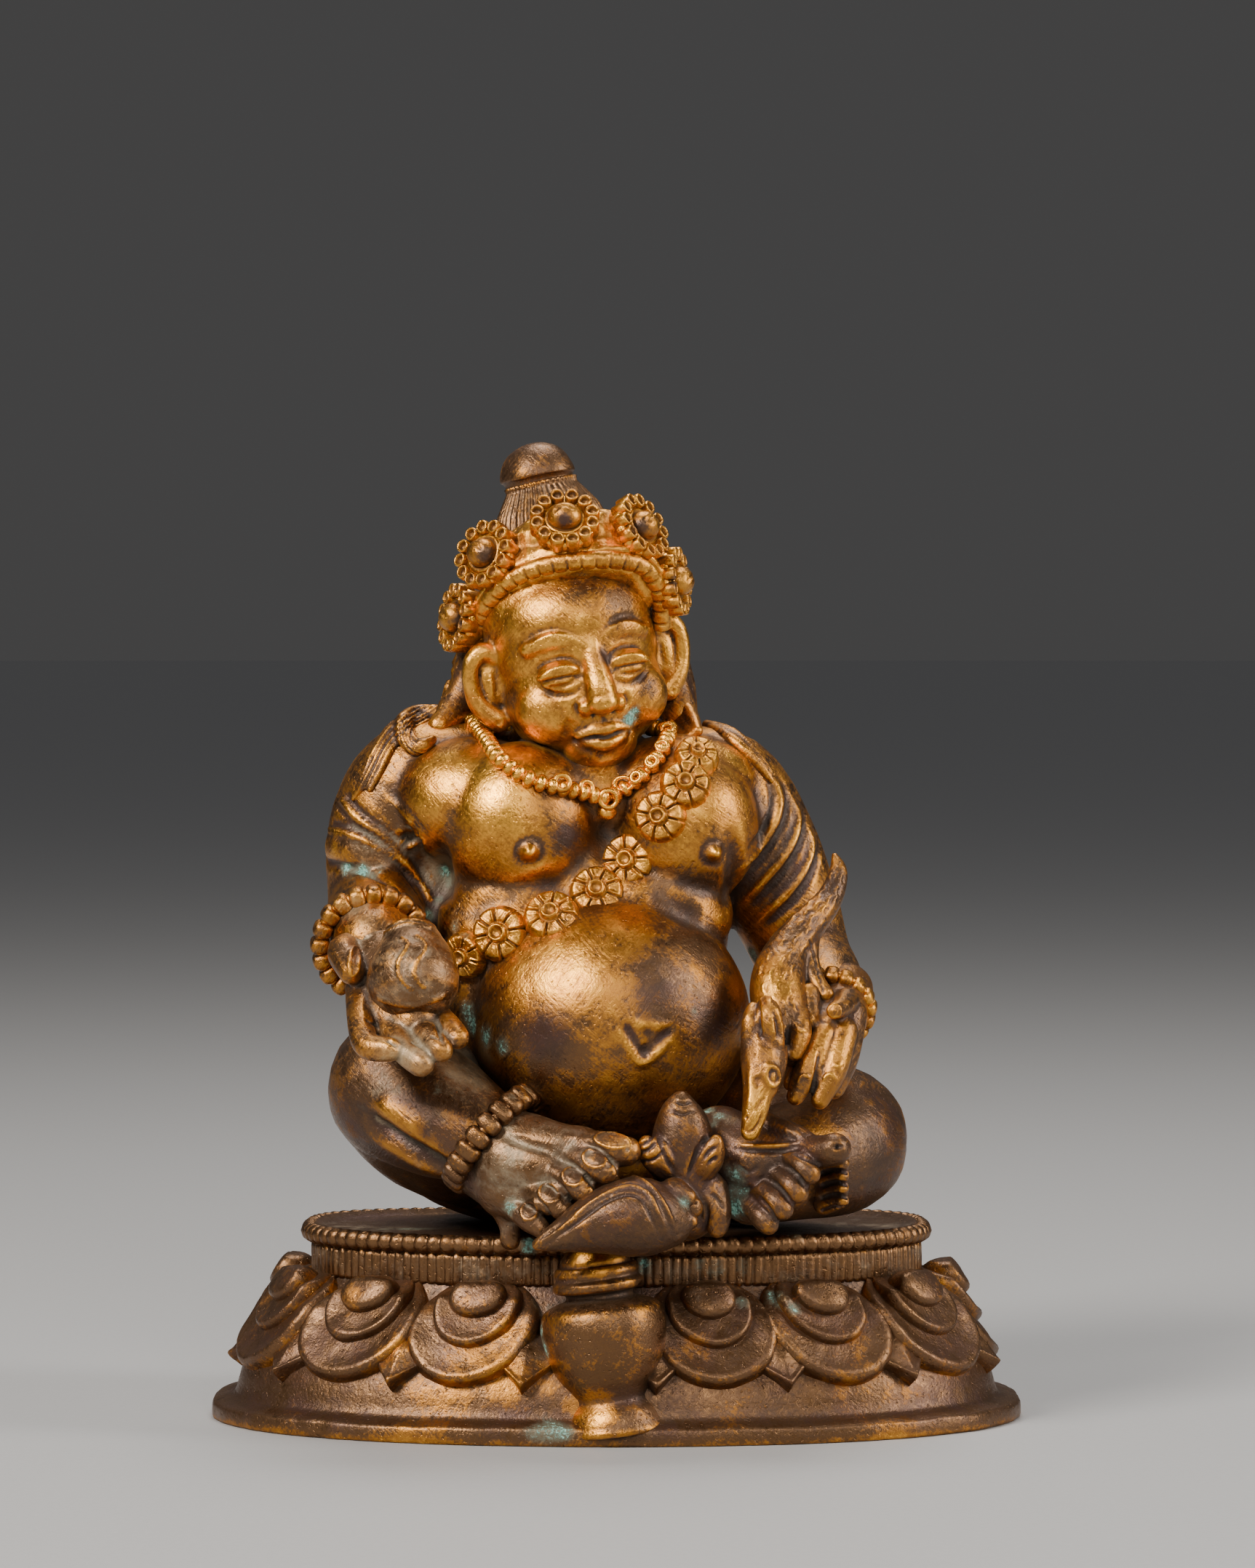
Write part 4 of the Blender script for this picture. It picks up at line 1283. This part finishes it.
def makeAgedCasting():
    group = bpy.data.node_groups.new("agedCasting", "ShaderNodeTree")
    for name, kind, value in (("Tone", "NodeSocketColor", None), ("Age", "NodeSocketColor", None),
                              ("Gilding", "NodeSocketFloat", 0.0), ("Darkening", "NodeSocketFloat", 0.0),
                              ("Brushing", "NodeSocketFloat", 1.0), ("Pitting", "NodeSocketFloat", 1.0),
                              ("Grime", "NodeSocketFloat", 1.0)):
        socket = group.interface.new_socket(name=name, in_out="INPUT", socket_type=kind)
        if value is not None:
            socket.default_value = value
    for name, kind in (("Color", "NodeSocketColor"), ("Roughness", "NodeSocketFloat"), ("Metallic", "NodeSocketFloat"),
                       ("Height", "NodeSocketFloat")):
        group.interface.new_socket(name=name, in_out="OUTPUT", socket_type=kind)
    put, calc, total, blend, between, grain, turnedPlace = nodeTools(group)
    given = put("NodeGroupInput", {}).outputs
    tone = put("ShaderNodeSeparateColor", {"Color": given["Tone"]}).outputs
    age = put("ShaderNodeSeparateColor", {"Color": given["Age"]}).outputs
    gilt, warmth, bloom = tone[0], tone[1], tone[2]
    verdigris, hollow, brown = age[0], age[1], age[2]
    place = put("ShaderNodeTexCoord", {}).outputs["Object"]
    broad = grain(place, metalGrain["broad"], 3)
    patchy = grain(place, metalGrain["patchy"], 5, 0.6)
    fine = grain(place, metalGrain["fine"], 4, 0.62)
    strokes = [grain(turnedPlace(place, turn, scale), 1.0, 3, 0.6) for turn, scale in metalGrain["brushing"]]
    sweep = between(grain(place, metalGrain["sweep"], 1), 0.4, 0.6)
    otherWay = calc("MULTIPLY", strokes[1], calc("SUBTRACT", 1.0, sweep))
    brushed = calc("ADD", calc("MULTIPLY", strokes[0], sweep), otherWay)
    pits = between(grain(place, metalGrain["pits"], 2, 0.5), 0.62, 0.74)

    # gold stays on what stands proud, brown patina and dirt gather in the hollows
    giltLevel = total(calc("ADD", gilt, given["Gilding"]), (hollow, -0.85), (patchy, 0.9), (broad, 0.8), (fine, 0.8),
                      (brushed, 0.5))
    giltCover, giltBright = between(giltLevel, 0.3, 0.62), between(giltLevel, 0.55, 1.1)
    brownLevel = total(calc("ADD", brown, given["Darkening"]), (hollow, 0.7), (broad, 0.8), (patchy, 0.8), (fine, 0.7),
                       (brushed, 0.3))
    dark = between(brownLevel, 0.1, 0.85)
    patina = blend(between(broad, 0.4, 0.6), metalColours["darkPatina"], metalColours["purplePatina"])
    bare = blend(dark, metalColours["copper"], patina)
    gold = blend(giltBright, metalColours["thinGilt"], metalColours["brightGilt"])
    gold = blend(between(brownLevel, 0.45, 1.0, 0.75), gold, patina)
    colour = blend(giltCover, bare, gold)
    warm = between(total(warmth, (patchy, 0.8), (hollow, 0.5)), 0.3, 0.85, 0.8)
    colour = blend(warm, colour, metalColours["warmCopper"])
    dusty = between(total(bloom, (patchy, 0.7), (broad, 0.5), (hollow, 0.6), (fine, 0.3)), 0.34, 0.9, 0.82)
    colour = blend(dusty, colour, metalColours["bloom"])
    shelter = put("ShaderNodeAmbientOcclusion", {"Distance": 0.0035}, samples=6).outputs["AO"]
    deep = between(total(calc("SUBTRACT", 1.0, shelter), (hollow, 0.8), (patchy, 0.35)), 0.25, 0.95)
    grimy = calc("MULTIPLY", deep, given["Grime"], clamp=True)
    colour = blend(calc("MULTIPLY", grimy, 0.85), colour, metalColours["grime"])
    present = between(verdigris, 0.02, 0.25)
    soaked = total(verdigris, (patchy, 1.1), (fine, 0.6), (hollow, 0.5))
    stain = calc("MULTIPLY", present, between(soaked, 0.12, 0.75, 0.7))
    colour = blend(stain, colour, metalColours["stain"])
    crust = calc("MULTIPLY", present, between(total(verdigris, (fine, 1.3), (patchy, 1.2), (hollow, 0.3)), 0.6, 0.9))
    colour = blend(crust, colour,
                   blend(between(fine, 0.4, 0.65), metalColours["verdigris"], metalColours["paleVerdigris"]))

    dulled = calc("SUBTRACT", 0.45, calc("MULTIPLY", giltCover, 0.4))
    metallic = calc("SUBTRACT", 1.0, calc("MULTIPLY", dark, dulled))
    for cover, loss in ((dusty, 0.6), (grimy, 0.6), (stain, 0.9), (crust, 1.0)):
        metallic = calc("MULTIPLY", metallic, calc("SUBTRACT", 1.0, calc("MULTIPLY", cover, loss)))
    rough = calc("SUBTRACT", 0.37, calc("MULTIPLY", giltBright, 0.09))
    rough = total(rough, (brushed, 0.2), (fine, 0.35), (patchy, 0.3))
    for cover, more in ((dusty, 0.12), (grimy, 0.25), (stain, 0.2), (crust, 0.3)):
        rough = calc("ADD", rough, calc("MULTIPLY", cover, more))
    height = calc("MULTIPLY", calc("MULTIPLY", brushed, given["Brushing"]), 0.3)
    for relief, times in ((fine, 0.32), (patchy, 0.55), (calc("MULTIPLY", pits, given["Pitting"]), -0.3),
                          (calc("MULTIPLY", crust, fine), 0.9), (calc("MULTIPLY", grimy, fine), 0.5)):
        height = calc("ADD", height, calc("MULTIPLY", relief, times))
    put("NodeGroupOutput", {"Color": colour, "Roughness": calc("MAXIMUM", rough, 0.2, clamp=True),
                            "Metallic": metallic, "Height": height})
    return group


agedCasting = makeAgedCasting()
finishes = {
    "figure": {"name": "gildedFigure", "Gilding": -0.05, "Darkening": 0.08, "Brushing": 1.0, "Pitting": 0.7,
               "Grime": 0.9},
    "base": {"name": "wornBase", "Gilding": -0.12, "Darkening": 0.0, "Brushing": 0.5, "Pitting": 1.0, "Grime": 1.0}}


def castMetal(finish):
    material = bpy.data.materials.new(finish["name"])
    material.use_nodes = True
    tree = material.node_tree
    put = nodeTools(tree)[0]
    shader = tree.nodes["Principled BSDF"]
    metal = put("ShaderNodeGroup", {}, node_tree=agedCasting)
    for name in ("Gilding", "Darkening", "Brushing", "Pitting", "Grime"):
        metal.inputs[name].default_value = finish[name]
    for name, layer in (("Tone", "tone"), ("Age", "age")):
        tree.links.new(put("ShaderNodeAttribute", {}, attribute_name=layer).outputs["Color"], metal.inputs[name])
    bump = put("ShaderNodeBump", {"Strength": metalRelief["strength"], "Distance": metalRelief["distance"],
                                  "Height": metal.outputs["Height"]})
    for socket, output in (("Base Color", "Color"), ("Roughness", "Roughness"), ("Metallic", "Metallic")):
        tree.links.new(metal.outputs[output], shader.inputs[socket])
    tree.links.new(bump.outputs["Normal"], shader.inputs["Normal"])
    return material


metals = {kind: castMetal(finish) for kind, finish in finishes.items()}

triangles = 0
for entry in statuePieces:
    piece = entry["piece"]
    piece.data.transform(Matrix.Scale(mm, 4) @ Matrix.Translation((0, 0, seat)))
    piece.data.materials.clear()
    piece.data.materials.append(metals[entry["material"]])
    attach(piece, "root")
    triangles += sum(len(p.vertices) - 2 for p in piece.data.polygons)
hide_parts(statueNode)
print("metal on", len(statuePieces), "pieces,", triangles, "triangles")

# Floor, lights and surroundings
backdrop = {"floorRadius": 14, "floorTones": [(0.33, 0.33, 0.335, 1), (0.37, 0.37, 0.375, 1)],
            "skyTones": [(0.062, 0.061, 0.061, 1), (0.15, 0.15, 0.153, 1)]}
bm = bmesh.new()
bmesh.ops.create_circle(bm, cap_ends=True, radius=backdrop["floorRadius"], segments=96)
floor = pieceOf("floor", bm)
ground = bpy.data.materials.new("paleFloor")
ground.use_nodes = True
put, _, _, blend, _, grain, _ = nodeTools(ground.node_tree)
floorShader = ground.node_tree.nodes["Principled BSDF"]
speck = grain(put("ShaderNodeTexCoord", {}).outputs["Object"], 900, 3)
ground.node_tree.links.new(blend(speck, *backdrop["floorTones"]), floorShader.inputs["Base Color"])
floorShader.inputs["Roughness"].default_value = 0.6
floor.data.materials.append(ground)

studio = {  # place, size, watts and colour of each soft light
          "key": ((-0.60, -0.62, 0.72), (0.3, 0.3), 16, (1.0, 0.94, 0.86)),
          "side": ((0.80, -0.22, 0.42), (0.16, 0.6), 7, (1.0, 0.95, 0.88)),
          "top": ((0.05, 0.3, 0.85), (0.4, 0.3), 5, (1.0, 0.97, 0.93)),
          "front": ((0.25, -1.0, 0.55), (0.3, 0.3), 3.8, (1.0, 0.97, 0.93))}
aim = Vector((0, 0, 0.08))
for name, (spot, size, power, colour) in studio.items():
    light = bpy.data.lights.new(name + "Light", "AREA")
    light.shape = "RECTANGLE"
    light.size, light.size_y = size
    light.energy = power
    light.color = colour
    lamp = bpy.data.objects.new(name + "Light", light)
    lamp.location = spot
    lamp.rotation_euler = (aim - Vector(spot)).to_track_quat("-Z", "Y").to_euler()
    bpy.context.scene.collection.objects.link(lamp)

world = bpy.data.worlds.new("studio")
world.use_nodes = True
put, _, _, blend, between, _, _ = nodeTools(world.node_tree)
upward = put("ShaderNodeSeparateXYZ", {0: put("ShaderNodeTexCoord", {}).outputs["Generated"]}).outputs[2]
sky = blend(between(upward, 0.12, 0.7), *backdrop["skyTones"])
world.node_tree.links.new(sky, world.node_tree.nodes["Background"].inputs["Color"])
bpy.context.scene.world = world
print("studio")
